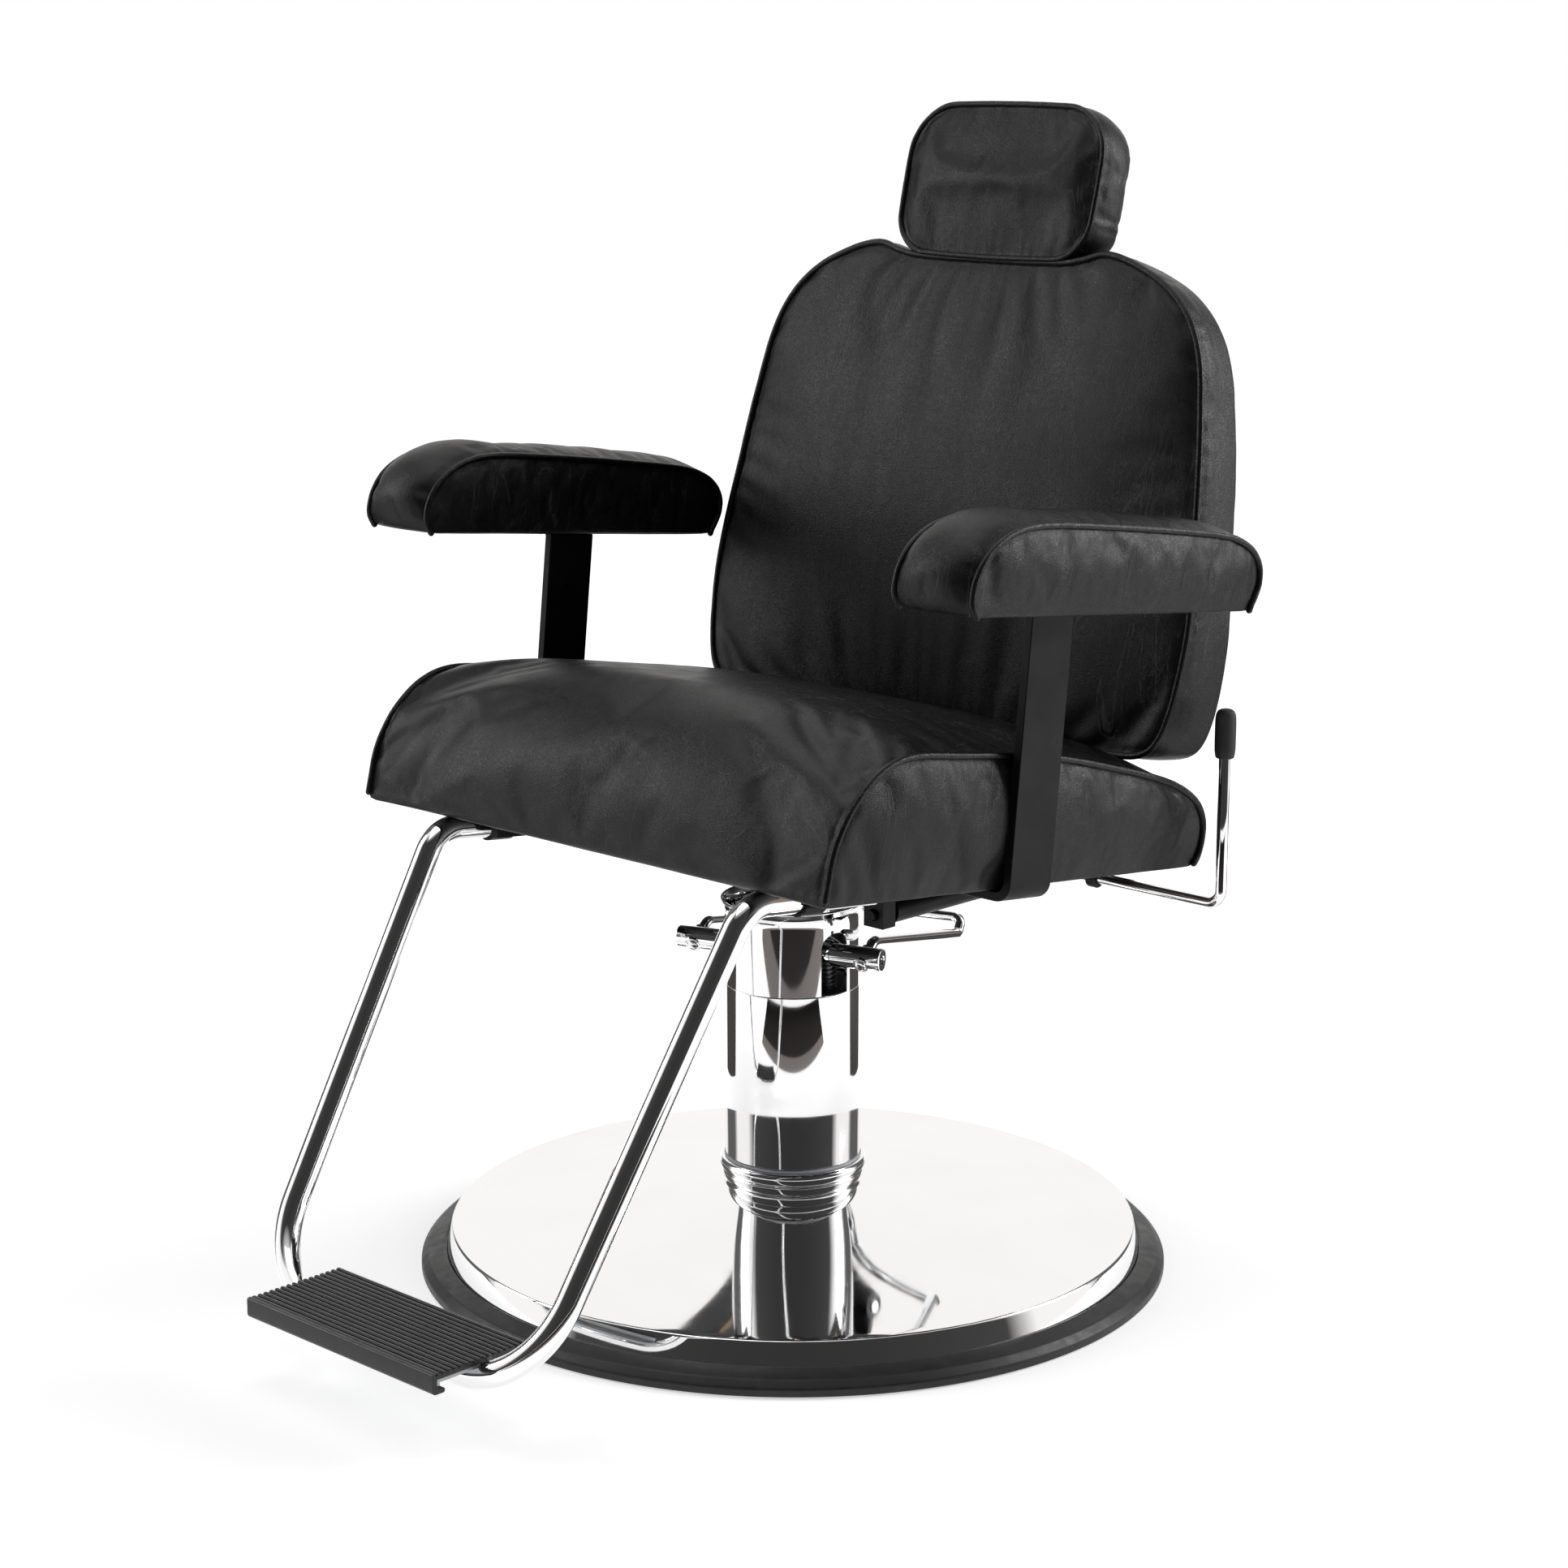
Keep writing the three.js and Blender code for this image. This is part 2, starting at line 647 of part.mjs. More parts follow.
// Footrest ------------------------------------------------------------------------

function footrestTube(radius) {
  const inSeat = (u) => new THREE.Vector3(TUBE_X, u, TUBE_W).applyEuler(seat.rotation).add(seat.position);
  const half = [inSeat(-100), inSeat(-246.5), TUBE_FOOT];
  const other = half.map((p) => p.clone().setX(-p.x)).reverse();
  return rod(bentPath([...half, ...other], [KNEE_BEND, FOOT_BEND, FOOT_BEND, KNEE_BEND]), radius, 60, 6);
}

// A saddle that holds the tube up against the seat board.
function tubeClamp(side) {
  const axis = [side * TUBE_X, TUBE_W];
  const block = box(...between(side, TUBE_X - 16, TUBE_X + 16), STRAP_U, STRAP_U + 24, TUBE_W - 4, -1 - GAP);
  const cheek = bar("y", TUBE_RADIUS + 2.5, STRAP_U, STRAP_U + 24, axis, 28);
  const bore = bar("y", TUBE_RADIUS + RUNNING, STRAP_U - 5, STRAP_U + 30, axis, 28);
  const above = box(-SEAT_HALF, SEAT_HALF, STRAP_U - 5, STRAP_U + 30, -1 - GAP, 20);
  return carve(block, { join: [cheek], cut: [bore, above] });
}

// The tube's bends begin under the ends of the tread, which are relieved for them.
function aboveTube(geometry) {
  return carve(geometry, { cut: [footrestTube(TUBE_RADIUS + 2 * GAP)] });
}

// A ribbed mat whose front edge hooks down and under the plate.
function treadCover() {
  const under = TREAD_Z - 5;
  const points = [
    [TREAD_BACK, under],
    [TREAD_BACK, TREAD_Z],
  ];
  const pitch = (TREAD_BACK - TREAD_FRONT - 4) / RIB_COUNT;
  for (let i = 0; i < RIB_COUNT; i += 1) {
    const y = TREAD_BACK - i * pitch;
    points.push([y - pitch * 0.55, TREAD_Z], [y - pitch * 0.65, TREAD_Z - 1.6]);
    points.push([y - pitch * 0.9, TREAD_Z - 1.6], [y - pitch, TREAD_Z]);
  }
  points.push([TREAD_FRONT + 3, TREAD_Z], [TREAD_FRONT, TREAD_Z - 3]);
  points.push([TREAD_FRONT, TREAD_Z - 15], [TREAD_FRONT + 11, TREAD_Z - 16.5]);
  points.push([TREAD_FRONT + 12, TREAD_Z - 13], [TREAD_FRONT + 5, TREAD_Z - 11.5]);
  points.push([TREAD_FRONT + 5, under]);
  return aboveTube(sideways(polygon(points), -TREAD_HALF, TREAD_HALF));
}

// A steel plate with its front edge folded down.
function treadPlate() {
  const top = TREAD_Z - 5 - GAP;
  const fold = [
    [TREAD_BACK, top - 1.5],
    [TREAD_FRONT + 6.8, top - 1.5],
    [TREAD_FRONT + 6.8, top - 5.5],
  ];
  return aboveTube(sideways(strip(fold, 3), -TREAD_HALF + 1, TREAD_HALF - 1));
}

add(chair, "footrest_tube", footrestTube(TUBE_RADIUS), CHROME);
add(chair, "tread_plate", treadPlate(), STEEL);
add(chair, "tread_cover", treadCover(), RUBBER);
for (const [name, side] of SIDES) {
  add(seat, `tube_clamp_${name}`, tubeClamp(side), BLACK_STEEL);
}

// Recline mechanism -----------------------------------------------------------------

// The eye moves on an arc while the rod moves straight, so its hole is a short upright slot.
const CRANK_PIN = new THREE.Vector2(
  PIVOT.x + CRANK_ARM * Math.sin(CRANK_LEAD),
  PIVOT.y - CRANK_ARM * Math.cos(CRANK_LEAD),
);

function reclineCylinder() {
  const profile = [
    [0, -14],
    [5, -14],
    [5, 10],
    [CYLINDER_RADIUS, 10],
    [CYLINDER_RADIUS, 175],
    [5 + RUNNING, 175],
    [5 + RUNNING, 100],
    [0, 100],
  ];
  return turned(profile, 24).rotateX(-Math.PI / 2).translate(CYLINDER_X, 0, CYLINDER_Z);
}

function reclineRod() {
  const stem = bar("y", 5, 138, CRANK_PIN.x - 6, [CYLINDER_X, CYLINDER_Z], 16);
  const [x0, x1] = [CYLINDER_X - 5.5, CYLINDER_X + 5.5];
  const eye = [-1.6, 1.6].map((dz) => bar("x", 11, x0, x1, [CRANK_PIN.x, CYLINDER_Z + dz], 20));
  const hole = [-1.6, 1.6].map((dz) => bar("x", 5.5, x0 - 1, x1 + 1, [CRANK_PIN.x, CYLINDER_Z + dz], 20));
  const slot = box(x0 - 1, x1 + 1, CRANK_PIN.x - 5.4, CRANK_PIN.x + 5.4, CYLINDER_Z - 1.6, CYLINDER_Z + 1.6);
  return carve(stem, { join: eye, cut: [...hole, slot] });
}

function leverRod() {
  const corners = [
    new THREE.Vector3(120, 182, LEVER_Z),
    new THREE.Vector3(120, LEVER_Y, LEVER_Z),
    new THREE.Vector3(LEVER_X, LEVER_Y, LEVER_Z),
    new THREE.Vector3(LEVER_X, LEVER_Y, 462),
  ];
  return rod(bentPath(corners, 13), LEVER_ROD, 36, 4);
}

function leverGrip() {
  const profile = [
    [0, 462 + GAP],
    [8, 462 + GAP],
    [9, 466],
    [9, 494],
    [8.4, 500],
    [5.5, 504],
    [0, 505],
  ];
  return turned(profile, 20).translate(LEVER_X, LEVER_Y, 0);
}

add(chair, "recline_cylinder", reclineCylinder(), BLACK_STEEL);
add(chair, "recline_rod", reclineRod(), CHROME);
add(chair, "lever_rod", leverRod(), CHROME);
add(chair, "lever_grip", leverGrip(), RUBBER);

// Back and headrest ---------------------------------------------------------------------

// The outline from the front: wide at the hips, round shoulders, and a shallow saddle under the headrest.
function backOutline(inset) {
  const shape = new THREE.Shape();
  const half = (side) => {
    const x = (value) => side * Math.max(value - inset, 0);
    return [
      [x(225), -20 + inset],
      [x(255), -20 + inset, x(272), 10, x(277.5), 60],
      [x(279), 120, x(262), 240, x(254), 295],
      [x(247), 345 - inset, x(205), 392 - inset, x(140), 404 - inset],
      [x(128), 404 - inset, x(118), 394 - inset, x(100), 394 - inset],
    ];
  };
  const right = half(1);
  const left = half(-1);
  shape.moveTo(right[0][0], right[0][1]);
  right.slice(1).forEach((curve) => shape.bezierCurveTo(...curve));
  const starts = left.map((row) => row.slice(-2));
  shape.lineTo(...starts[4]);
  for (let i = 4; i > 0; i -= 1) {
    const [ax, ay, bx, by] = left[i];
    shape.bezierCurveTo(bx, by, ax, ay, ...starts[i - 1]);
  }
  return shape;
}

// A side-view point (y, z) as (t, v) in the back's own frame.
function inBack(point) {
  const origin = new THREE.Vector2(BACK_Y, BACK_Z);
  return point.clone().sub(origin).rotateAround(new THREE.Vector2(), BACK_TILT).toArray();
}

function hingeArm(side) {
  const [x0, x1] = between(side, HINGE_ARM_INNER, HINGE_ARM_OUTER);
  const pivot = inBack(PIVOT);
  const line = [[ARM_STRIP_T, 110], [ARM_STRIP_T, -24], [79.3, -36.3], pivot];
  const join = [bar("x", EYE_RADIUS, x0, x1, pivot, 24)];
  const cut = [bar("x", PIN_RADIUS + RUNNING, x0 - 1, x1 + 1, pivot, 20)];
  if (side > 0) {
    const pin = inBack(CRANK_PIN);
    const crank = strip([pivot, pin], 16);
    join.push(sideways(crank, x0, x0 + 8));
    join.push(bar("x", 8, x0, x0 + 8, pin, 20));
    join.push(bar("x", 5, CYLINDER_X - 8, x0 + 4, pin, 20));
  }
  return carve(sideways(strip(line, 6), x0, x1), { join, cut });
}

const knobAxis = [0, KNOB_V];

function backCover() {
  const panel = forwards(backOutline(8), BACK_COVER_T, BACK_COVER_T + 4, 5);
  return carve(panel, { cut: [bar("y", 6, BACK_COVER_T - 5, BACK_COVER_T + 10, knobAxis, 16)] });
}

function headrestGuide() {
  const outer = box(-22, 22, 38.3, 54.3, 290, 384);
  const channel = box(-15.4, 15.4, 41.9, 50.7, 280, 390);
  return carve(outer, { cut: [channel, bar("y", 5 + RUNNING, 46, 60, knobAxis, 16)] });
}

function lockKnob() {
  const profile = [
    [0, 51],
    [5, 51],
    [5, 70],
    [15, 70],
    [17, 72],
    [17, 83],
    [14, 86],
    [0, 86],
  ];
  return turned(profile, 20).rotateX(-Math.PI / 2).translate(0, 0, KNOB_V);
}

function headrestOutline() {
  const [half, low, high, corner] = [108, 399, 530, 38];
  const shape = new THREE.Shape();
  shape.moveTo(half - corner, low);
  shape.absarc(half - corner, low + corner, corner, -Math.PI / 2, 0);
  shape.absarc(half - corner, high - corner, corner, 0, Math.PI / 2);
  shape.absarc(corner - half, high - corner, corner, Math.PI / 2, Math.PI);
  shape.absarc(corner - half, low + corner, corner, Math.PI, Math.PI * 1.5);
  return shape;
}

add(back, "back_cushion", forwards(backOutline(0), -10, BACK_BOARD_T - GAP, 5), LEATHER);
add(back, "back_board", forwards(backOutline(14), BACK_BOARD_T, BACK_BOARD_T + 10, 4), PLYWOOD);
add(back, "back_cover", backCover(), LEATHER);
add(back, "headrest_guide", headrestGuide(), BLACK_STEEL);
add(back, "lock_knob", lockKnob(), RUBBER);
add(back, "headrest_stem", box(-15, 15, 42.3, 50.3, 250, 450), CHROME);
add(back, "headrest_board", box(-88, 88, 30.3, 42, 418, 512), PLYWOOD);
add(back, "headrest_cushion", forwards(headrestOutline(), -8, 30, 5), LEATHER);
for (const [name, side] of SIDES) {
  add(back, `hinge_arm_${name}`, hingeArm(side), BLACK_STEEL);
}

export default chair;
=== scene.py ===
"""The looks of a hydraulic barber chair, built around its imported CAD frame.

Metres in Blender; every shape here is written in millimetres, in the frame of the piece it belongs to.
+Z is up and the sitter faces -Y, with +X on their left.
"""

import json
import math

import bmesh
import bpy
import numpy as np
from mathutils import Matrix, Quaternion, Vector, kdtree, noise


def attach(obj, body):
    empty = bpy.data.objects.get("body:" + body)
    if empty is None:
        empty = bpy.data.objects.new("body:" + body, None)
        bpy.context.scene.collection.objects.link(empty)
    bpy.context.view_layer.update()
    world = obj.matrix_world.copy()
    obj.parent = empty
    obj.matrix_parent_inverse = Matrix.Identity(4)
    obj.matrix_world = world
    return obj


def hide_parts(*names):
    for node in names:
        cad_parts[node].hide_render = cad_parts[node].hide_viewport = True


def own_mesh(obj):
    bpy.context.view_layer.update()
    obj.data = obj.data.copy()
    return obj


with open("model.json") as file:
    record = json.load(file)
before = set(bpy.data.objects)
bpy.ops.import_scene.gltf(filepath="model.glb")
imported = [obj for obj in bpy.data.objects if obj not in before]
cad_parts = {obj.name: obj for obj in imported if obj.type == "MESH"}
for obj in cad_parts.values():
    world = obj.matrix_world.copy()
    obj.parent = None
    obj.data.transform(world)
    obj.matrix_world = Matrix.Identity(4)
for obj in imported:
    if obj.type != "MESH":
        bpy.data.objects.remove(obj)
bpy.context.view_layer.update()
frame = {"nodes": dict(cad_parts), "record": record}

MM = 0.001
SIDES = (("left", -1), ("right", 1))

# Frames: the seat leans back a little, the back leans more, and the pump is turned on its base.
GROUND = Matrix.Identity(4)
SEAT = Matrix.Translation((0, 0, 0.3856)) @ Matrix.Rotation(math.radians(-6.15), 4, "X")
BACK = Matrix.Translation((0, 0.170, 0.480)) @ Matrix.Rotation(math.radians(-12), 4, "X")
PUMP = Matrix.Rotation(math.radians(19), 4, "Z")
HEAD = BACK @ Matrix.Translation((0, 0, 0.465)) @ Matrix.Rotation(math.radians(-2), 4, "X")

scene = bpy.context.scene


# --- Camera ---

def make_camera():
    data = bpy.data.cameras.new("camera")
    data.lens = 75.97
    data.sensor_width = 36
    data.clip_end = 100
    camera = bpy.data.objects.new("camera", data)
    camera.location = (1.933, -2.021, 1.0567)
    camera.rotation_euler = (math.radians(77.325), 0, math.radians(43.885))
    scene.collection.objects.link(camera)
    scene.camera = camera


make_camera()


# --- Materials ---

def add_node(tree, kind, inputs=(), **options):
    """A shader node whose inputs are numbers, or sockets to link from."""
    made = tree.nodes.new("ShaderNode" + kind)
    for key, value in options.items():
        setattr(made, key, value)
    for key, value in dict(inputs).items():
        if isinstance(value, bpy.types.NodeSocket):
            tree.links.new(value, made.inputs[key])
        else:
            made.inputs[key].default_value = value
    return made


class Nodes:
    """A short way to wire one material's nodes."""

    def __init__(self, name, **surface):
        self.material = bpy.data.materials.new(name)
        self.material.use_nodes = True
        self.tree = self.material.node_tree
        self.shader = self.tree.nodes["Principled BSDF"]
        for key, value in surface.items():
            self.set(key, value)
        self.place = self.tree.nodes.new("ShaderNodeTexCoord").outputs["Object"]

    def set(self, key, value):
        socket = self.shader.inputs[key.replace("_", " ")]
        if isinstance(value, bpy.types.NodeSocket):
            self.tree.links.new(value, socket)
        else:
            socket.default_value = value

    def node(self, kind, inputs=(), **options):
        return add_node(self.tree, kind, inputs, **options)

    def stretched(self, scale, turn=(0, 0, 0)):
        return self.node("Mapping", {"Vector": self.place, "Scale": scale, "Rotation": turn}).outputs[0]

    def noise(self, scale, detail=4, vector=None, distortion=0.0):
        inputs = {"Vector": vector or self.place, "Scale": scale, "Detail": detail, "Distortion": distortion}
        return self.node("TexNoise", inputs).outputs["Fac"]

    def cells(self, scale):
        inputs = {"Vector": self.place, "Scale": scale}
        return self.node("TexVoronoi", inputs, feature="DISTANCE_TO_EDGE").outputs["Distance"]

    def ramp(self, value, low, high, out_low=0.0, out_high=1.0):
        inputs = {"Value": value, "From Min": low, "From Max": high, "To Min": out_low, "To Max": out_high}
        return self.node("MapRange", inputs).outputs["Result"]

    def maths(self, operation, a, b=0.0):
        return self.node("Math", {0: a, 1: b}, operation=operation).outputs[0]

    def colour(self, amount, low, high):
        mix = self.node("Mix", data_type="RGBA")
        for key, value in (("A", low), ("B", high)):
            if isinstance(value, bpy.types.NodeSocket):
                self.tree.links.new(value, mix.inputs[key])
            else:
                mix.inputs[key].default_value = (*value, 1)
        self.tree.links.new(amount, mix.inputs["Factor"])
        return mix.outputs["Result"]

    def attribute(self, name):
        return self.node("Attribute", attribute_name=name).outputs["Fac"]

    def bump(self, height, distance, strength=1.0, normal=None):
        inputs = {"Height": height, "Distance": distance, "Strength": strength}
        if normal is not None:
            inputs["Normal"] = normal
        return self.node("Bump", inputs).outputs["Normal"]


def leather(name, veins=1.0, gloss=0.34):
    n = Nodes(name, Specular_IOR_Level=0.27)
    # Pale pull marks that run up and down the hide: long fine ones in patches, and short crossing ones.
    along = n.stretched((1, 1, 0.13), (0.1, 0.07, 0))
    line = n.maths("ABSOLUTE", n.maths("SUBTRACT", n.noise(30, 6, along, 0.9), 0.5))
    vein = n.ramp(line, 0.0, 0.011, 1.0, 0.0)
    patch = n.ramp(n.noise(8, 3, n.stretched((1, 1, 0.5))), 0.44, 0.62)
    crossing = n.noise(75, 4, n.stretched((1, 1, 0.35), (0.5, 0.3, 0)), 0.5)
    short = n.maths("ABSOLUTE", n.maths("SUBTRACT", crossing, 0.5))
    crack = n.maths("MULTIPLY", n.ramp(short, 0.0, 0.012, 0.7, 0.0), n.ramp(n.noise(13, 3), 0.5, 0.68))
    marks = n.maths("MULTIPLY", n.maths("MAXIMUM", n.maths("MULTIPLY", vein, patch), crack), veins)
    cloud = n.ramp(n.noise(22, 6, n.stretched((1, 1, 0.35)), 0.5), 0.32, 0.72)
    body = n.colour(cloud, (0.0030, 0.0027, 0.0028), (0.0066, 0.0060, 0.0062))
    n.set("Base Color", n.colour(marks, body, (0.045, 0.041, 0.043)))
    wear = n.attribute("seam")
    rough = n.ramp(n.noise(38, 5, n.stretched((1, 1, 0.4))), 0.3, 0.7, gloss - 0.04, gloss + 0.08)
    rough = n.maths("ADD", rough, n.maths("MULTIPLY", marks, 0.15))
    n.set("Roughness", n.maths("SUBTRACT", rough, n.maths("MULTIPLY", wear, 0.04)))
    pebbles = n.ramp(n.cells(760), 0.0, 0.22)
    folds = n.noise(120, 5, n.stretched((1, 1, 0.45)), 0.7)
    drape = n.noise(11, 2, n.stretched((1, 1, 0.6)))
    normal = n.bump(drape, 0.011, 0.10)
    normal = n.bump(folds, 0.0014, 0.17, normal)
    normal = n.bump(marks, 0.0004, 0.35, normal)
    normal = n.bump(pebbles, 0.00018, 0.5, normal)
    n.set("Normal", n.bump(n.noise(1500, 2), 0.00012, 0.3, normal))
    return n.material


def chrome(name, roughness=0.03, tint=(0.93, 0.93, 0.935)):
    n = Nodes(name, Metallic=1.0)
    smear = n.ramp(n.noise(9, 5), 0.45, 0.75)
    n.set("Base Color", n.colour(smear, tint, tuple(c * 0.97 for c in tint)))
    n.set("Roughness", n.ramp(n.noise(45, 6), 0.35, 0.75, roughness, roughness + 0.03))
    n.set("Normal", n.bump(n.noise(22, 2), 0.0004, 0.05))
    return n.material


def steel(name, tint=(0.42, 0.43, 0.44), roughness=0.3):
    n = Nodes(name, Metallic=1.0)
    brushed = n.noise(40, 6, n.stretched((1, 12, 12)))
    n.set("Base Color", n.colour(n.noise(30, 5), tuple(c * 0.8 for c in tint), tint))
    n.set("Roughness", n.ramp(brushed, 0.3, 0.7, roughness, roughness + 0.15))
    n.set("Normal", n.bump(brushed, 0.0002, 0.2))
    return n.material


def black_steel(name):
    n = Nodes(name, Metallic=0.0, Specular_IOR_Level=0.16)
    orange_peel = n.noise(420, 3)
    scuffs = n.ramp(n.noise(70, 6), 0.62, 0.72)
    n.set("Base Color", n.colour(scuffs, (0.004, 0.004, 0.0042), (0.009, 0.009, 0.009)))
    n.set("Roughness", n.ramp(n.noise(30, 4), 0.3, 0.7, 0.36, 0.5))
    n.set("Normal", n.bump(orange_peel, 0.0003, 0.25))
    return n.material


def rubber(name, base=0.022, roughness=0.62):
    n = Nodes(name, Specular_IOR_Level=0.4)
    dust = n.ramp(n.noise(50, 6), 0.5, 0.8)
    n.set("Base Color", n.colour(dust, (base, base, base * 1.03), (base * 1.7, base * 1.7, base * 1.72)))
    n.set("Roughness", n.ramp(n.noise(90, 5), 0.3, 0.7, roughness - 0.06, roughness + 0.1))
    n.set("Normal", n.bump(n.noise(900, 3), 0.00025, 0.35))
    return n.material


def plywood(name):
    n = Nodes(name, Roughness=0.75)
    grain = n.noise(14, 8, n.stretched((9, 1, 1)), 1.5)
    n.set("Base Color", n.colour(grain, (0.2, 0.115, 0.055), (0.42, 0.28, 0.16)))
    n.set("Normal", n.bump(grain, 0.0006, 0.4))
    return n.material


def seal(name):
    n = Nodes(name, Specular_IOR_Level=0.5)
    n.set("Base Color", n.colour(n.noise(80, 4), (0.42, 0.43, 0.45), (0.56, 0.57, 0.59)))
    n.set("Roughness", n.ramp(n.noise(120, 3), 0.3, 0.7, 0.35, 0.5))
    n.set("Normal", n.bump(n.noise(500, 2), 0.0002, 0.2))
    return n.material


LOOKS = {
    "leather": leather("leather"),
    "welt": leather("welt_leather", 0.0, 0.3),
    "chrome": chrome("chrome"),
    "steel": steel("zinc_steel"),
    "dark_steel": steel("dark_steel", (0.16, 0.165, 0.17), 0.38),
    "black_steel": black_steel("black_steel"),
    "rubber": rubber("rubber"),
    "ring_rubber": rubber("ring_rubber", 0.02, 0.42),
    "tread_rubber": rubber("tread_rubber", 0.016, 0.3),
    "plywood": plywood("plywood"),
    "seal": seal("seal"),
}


# --- Making pieces ---

def new_mesh(name, points, faces, sharp=40):
    """A mesh from points in millimetres, shaded smooth except at edges sharper than the given angle."""
    mesh = bpy.data.meshes.new(name)
    mesh.from_pydata([tuple(c * MM for c in p) for p in points], [], faces)
    tidy = bmesh.new()
    tidy.from_mesh(mesh)
    bmesh.ops.remove_doubles(tidy, verts=tidy.verts, dist=1e-6)
    bmesh.ops.recalc_face_normals(tidy, faces=tidy.faces)
    tidy.to_mesh(mesh)
    tidy.free()
    mesh.shade_smooth()
    mesh.set_sharp_from_angle(angle=math.radians(sharp))
    return mesh


def piece(name, mesh, look, body, place=GROUND, stands_for=()):
    """One object that rides on a CAD body and takes its finish from the look's slot."""
    obj = bpy.data.objects.new(name, mesh)
    scene.collection.objects.link(obj)
    obj.matrix_world = place
    mesh.materials.append(LOOKS[look])
    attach(obj, body)
    if stands_for:
        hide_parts(*stands_for)
    return obj


def bevelled(obj, width, segments=2, angle=40):
    edge = obj.modifiers.new("edges", "BEVEL")
    edge.width = width * MM
    edge.segments = segments
    edge.limit_method = "ANGLE"
    edge.angle_limit = math.radians(angle)
    edge.harden_normals = True
    return obj


def refined(node, look, body):
    """A CAD node's shape with its edges eased, in a better material."""
    mesh = frame["nodes"][node].data.copy()
    mesh.materials.clear()
    work = bmesh.new()
    work.from_mesh(mesh)
    bmesh.ops.remove_doubles(work, verts=work.verts, dist=1e-6)
    bmesh.ops.dissolve_limit(work, angle_limit=math.radians(1), verts=work.verts, edges=work.edges)
    work.to_mesh(mesh)
    work.free()
    for layer in list(mesh.attributes):
        if layer.name in ("custom_normal", "sharp_face"):
            mesh.attributes.remove(layer)
    mesh.shade_smooth()
    mesh.set_sharp_from_angle(angle=math.radians(35))
    return bevelled(piece(f"{node}_fine", mesh, look, body, stands_for=(node,)), 0.5)


# --- Lines ---

def evenly(points, count, closed=False):
    """The polyline resampled at count + 1 even steps, or count steps round a closed one."""
    line = np.asarray(points, float)
    if closed:
        line = np.vstack([line, line[:1]])
    steps = np.linalg.norm(np.diff(line, axis=0), axis=1)
    along = np.concatenate([[0], np.cumsum(steps)])
    stops = np.linspace(0, along[-1], count + 1)
    out = np.column_stack([np.interp(stops, along, line[:, k]) for k in range(line.shape[1])])
    return out[:-1] if closed else out


def smooth_line(points, closed=False, steps=16):
    """A Catmull-Rom curve through the points, finely sampled."""
    p = np.asarray(points, float)
    if closed:
        p = np.vstack([p[-1:], p, p[:2]])
    else:
        p = np.vstack([2 * p[0] - p[1], p, 2 * p[-1] - p[-2]])
    out = []
    for a, b, c, d in zip(p, p[1:], p[2:], p[3:]):
        ka = 1e-9 + np.linalg.norm(b - a) ** 0.5
        kb = 1e-9 + np.linalg.norm(c - b) ** 0.5
        kc = 1e-9 + np.linalg.norm(d - c) ** 0.5
        start = kb * ((b - a) / ka - (c - a) / (ka + kb) + (c - b) / kb)
        end = kb * ((c - b) / kb - (d - b) / (kb + kc) + (d - c) / kc)
        for t in np.arange(steps) / steps:
            h = (2 * t**3 - 3 * t**2 + 1, t**3 - 2 * t**2 + t, -2 * t**3 + 3 * t**2, t**3 - t**2)
            out.append(h[0] * b + h[1] * start + h[2] * c + h[3] * end)
    if not closed:
        out.append(p[-2])
    return np.array(out)


def rounded(points, radius, steps=6, closed=False):
    """A polyline whose corners are turned with the given radius (one number, or one for each point)."""
    p = [np.asarray(q, float) for q in points]
    radii = [radius] * len(p) if np.isscalar(radius) else radius
    out = [] if closed else [p[0]]
    for i in range(0 if closed else 1, len(p) if closed else len(p) - 1):
        here, back, ahead = p[i], p[i - 1], p[(i + 1) % len(p)]
        u = (back - here) / np.linalg.norm(back - here)
        w = (ahead - here) / np.linalg.norm(ahead - here)
        angle = math.acos(float(np.clip(u @ w, -1, 1)))
        if radii[i] <= 0 or angle > math.pi - 0.02:
            out.append(here)
            continue
        room = 0.49 * min(np.linalg.norm(back - here), np.linalg.norm(ahead - here))
        reach = min(radii[i] / math.tan(angle / 2), room)
        true = reach * math.tan(angle / 2)
        middle = here + (u + w) / np.linalg.norm(u + w) * (true / math.sin(angle / 2))
        first, last = here + u * reach - middle, here + w * reach - middle
        swing = math.pi - angle
        for k in range(steps + 1):
            a = swing * k / steps
            out.append(middle + (first * math.sin(swing - a) + last * math.sin(a)) / math.sin(swing))
    if not closed:
        out.append(p[-1])
    return np.array(out)


# --- Hard shapes ---

def lathe(name, profile, segments=128, sharp=40):
    """A closed (radius, z) profile turned about Z. One that starts and ends on the axis closes there."""
    profile = [tuple(q) for q in profile]
    on_axis = profile[0][0] == 0
    rows = len(profile)
    points = []
    for r, z in profile:
        for k in range(segments):
            a = 2 * math.pi * k / segments
            points.append((r * math.cos(a), r * math.sin(a), z))
    faces = []
    for i in range(rows - 1 if on_axis else rows):
        j = (i + 1) % rows
        for k in range(segments):
            m = (k + 1) % segments
            faces.append((i * segments + k, i * segments + m, j * segments + m, j * segments + k))
    return new_mesh(name, points, faces, sharp)


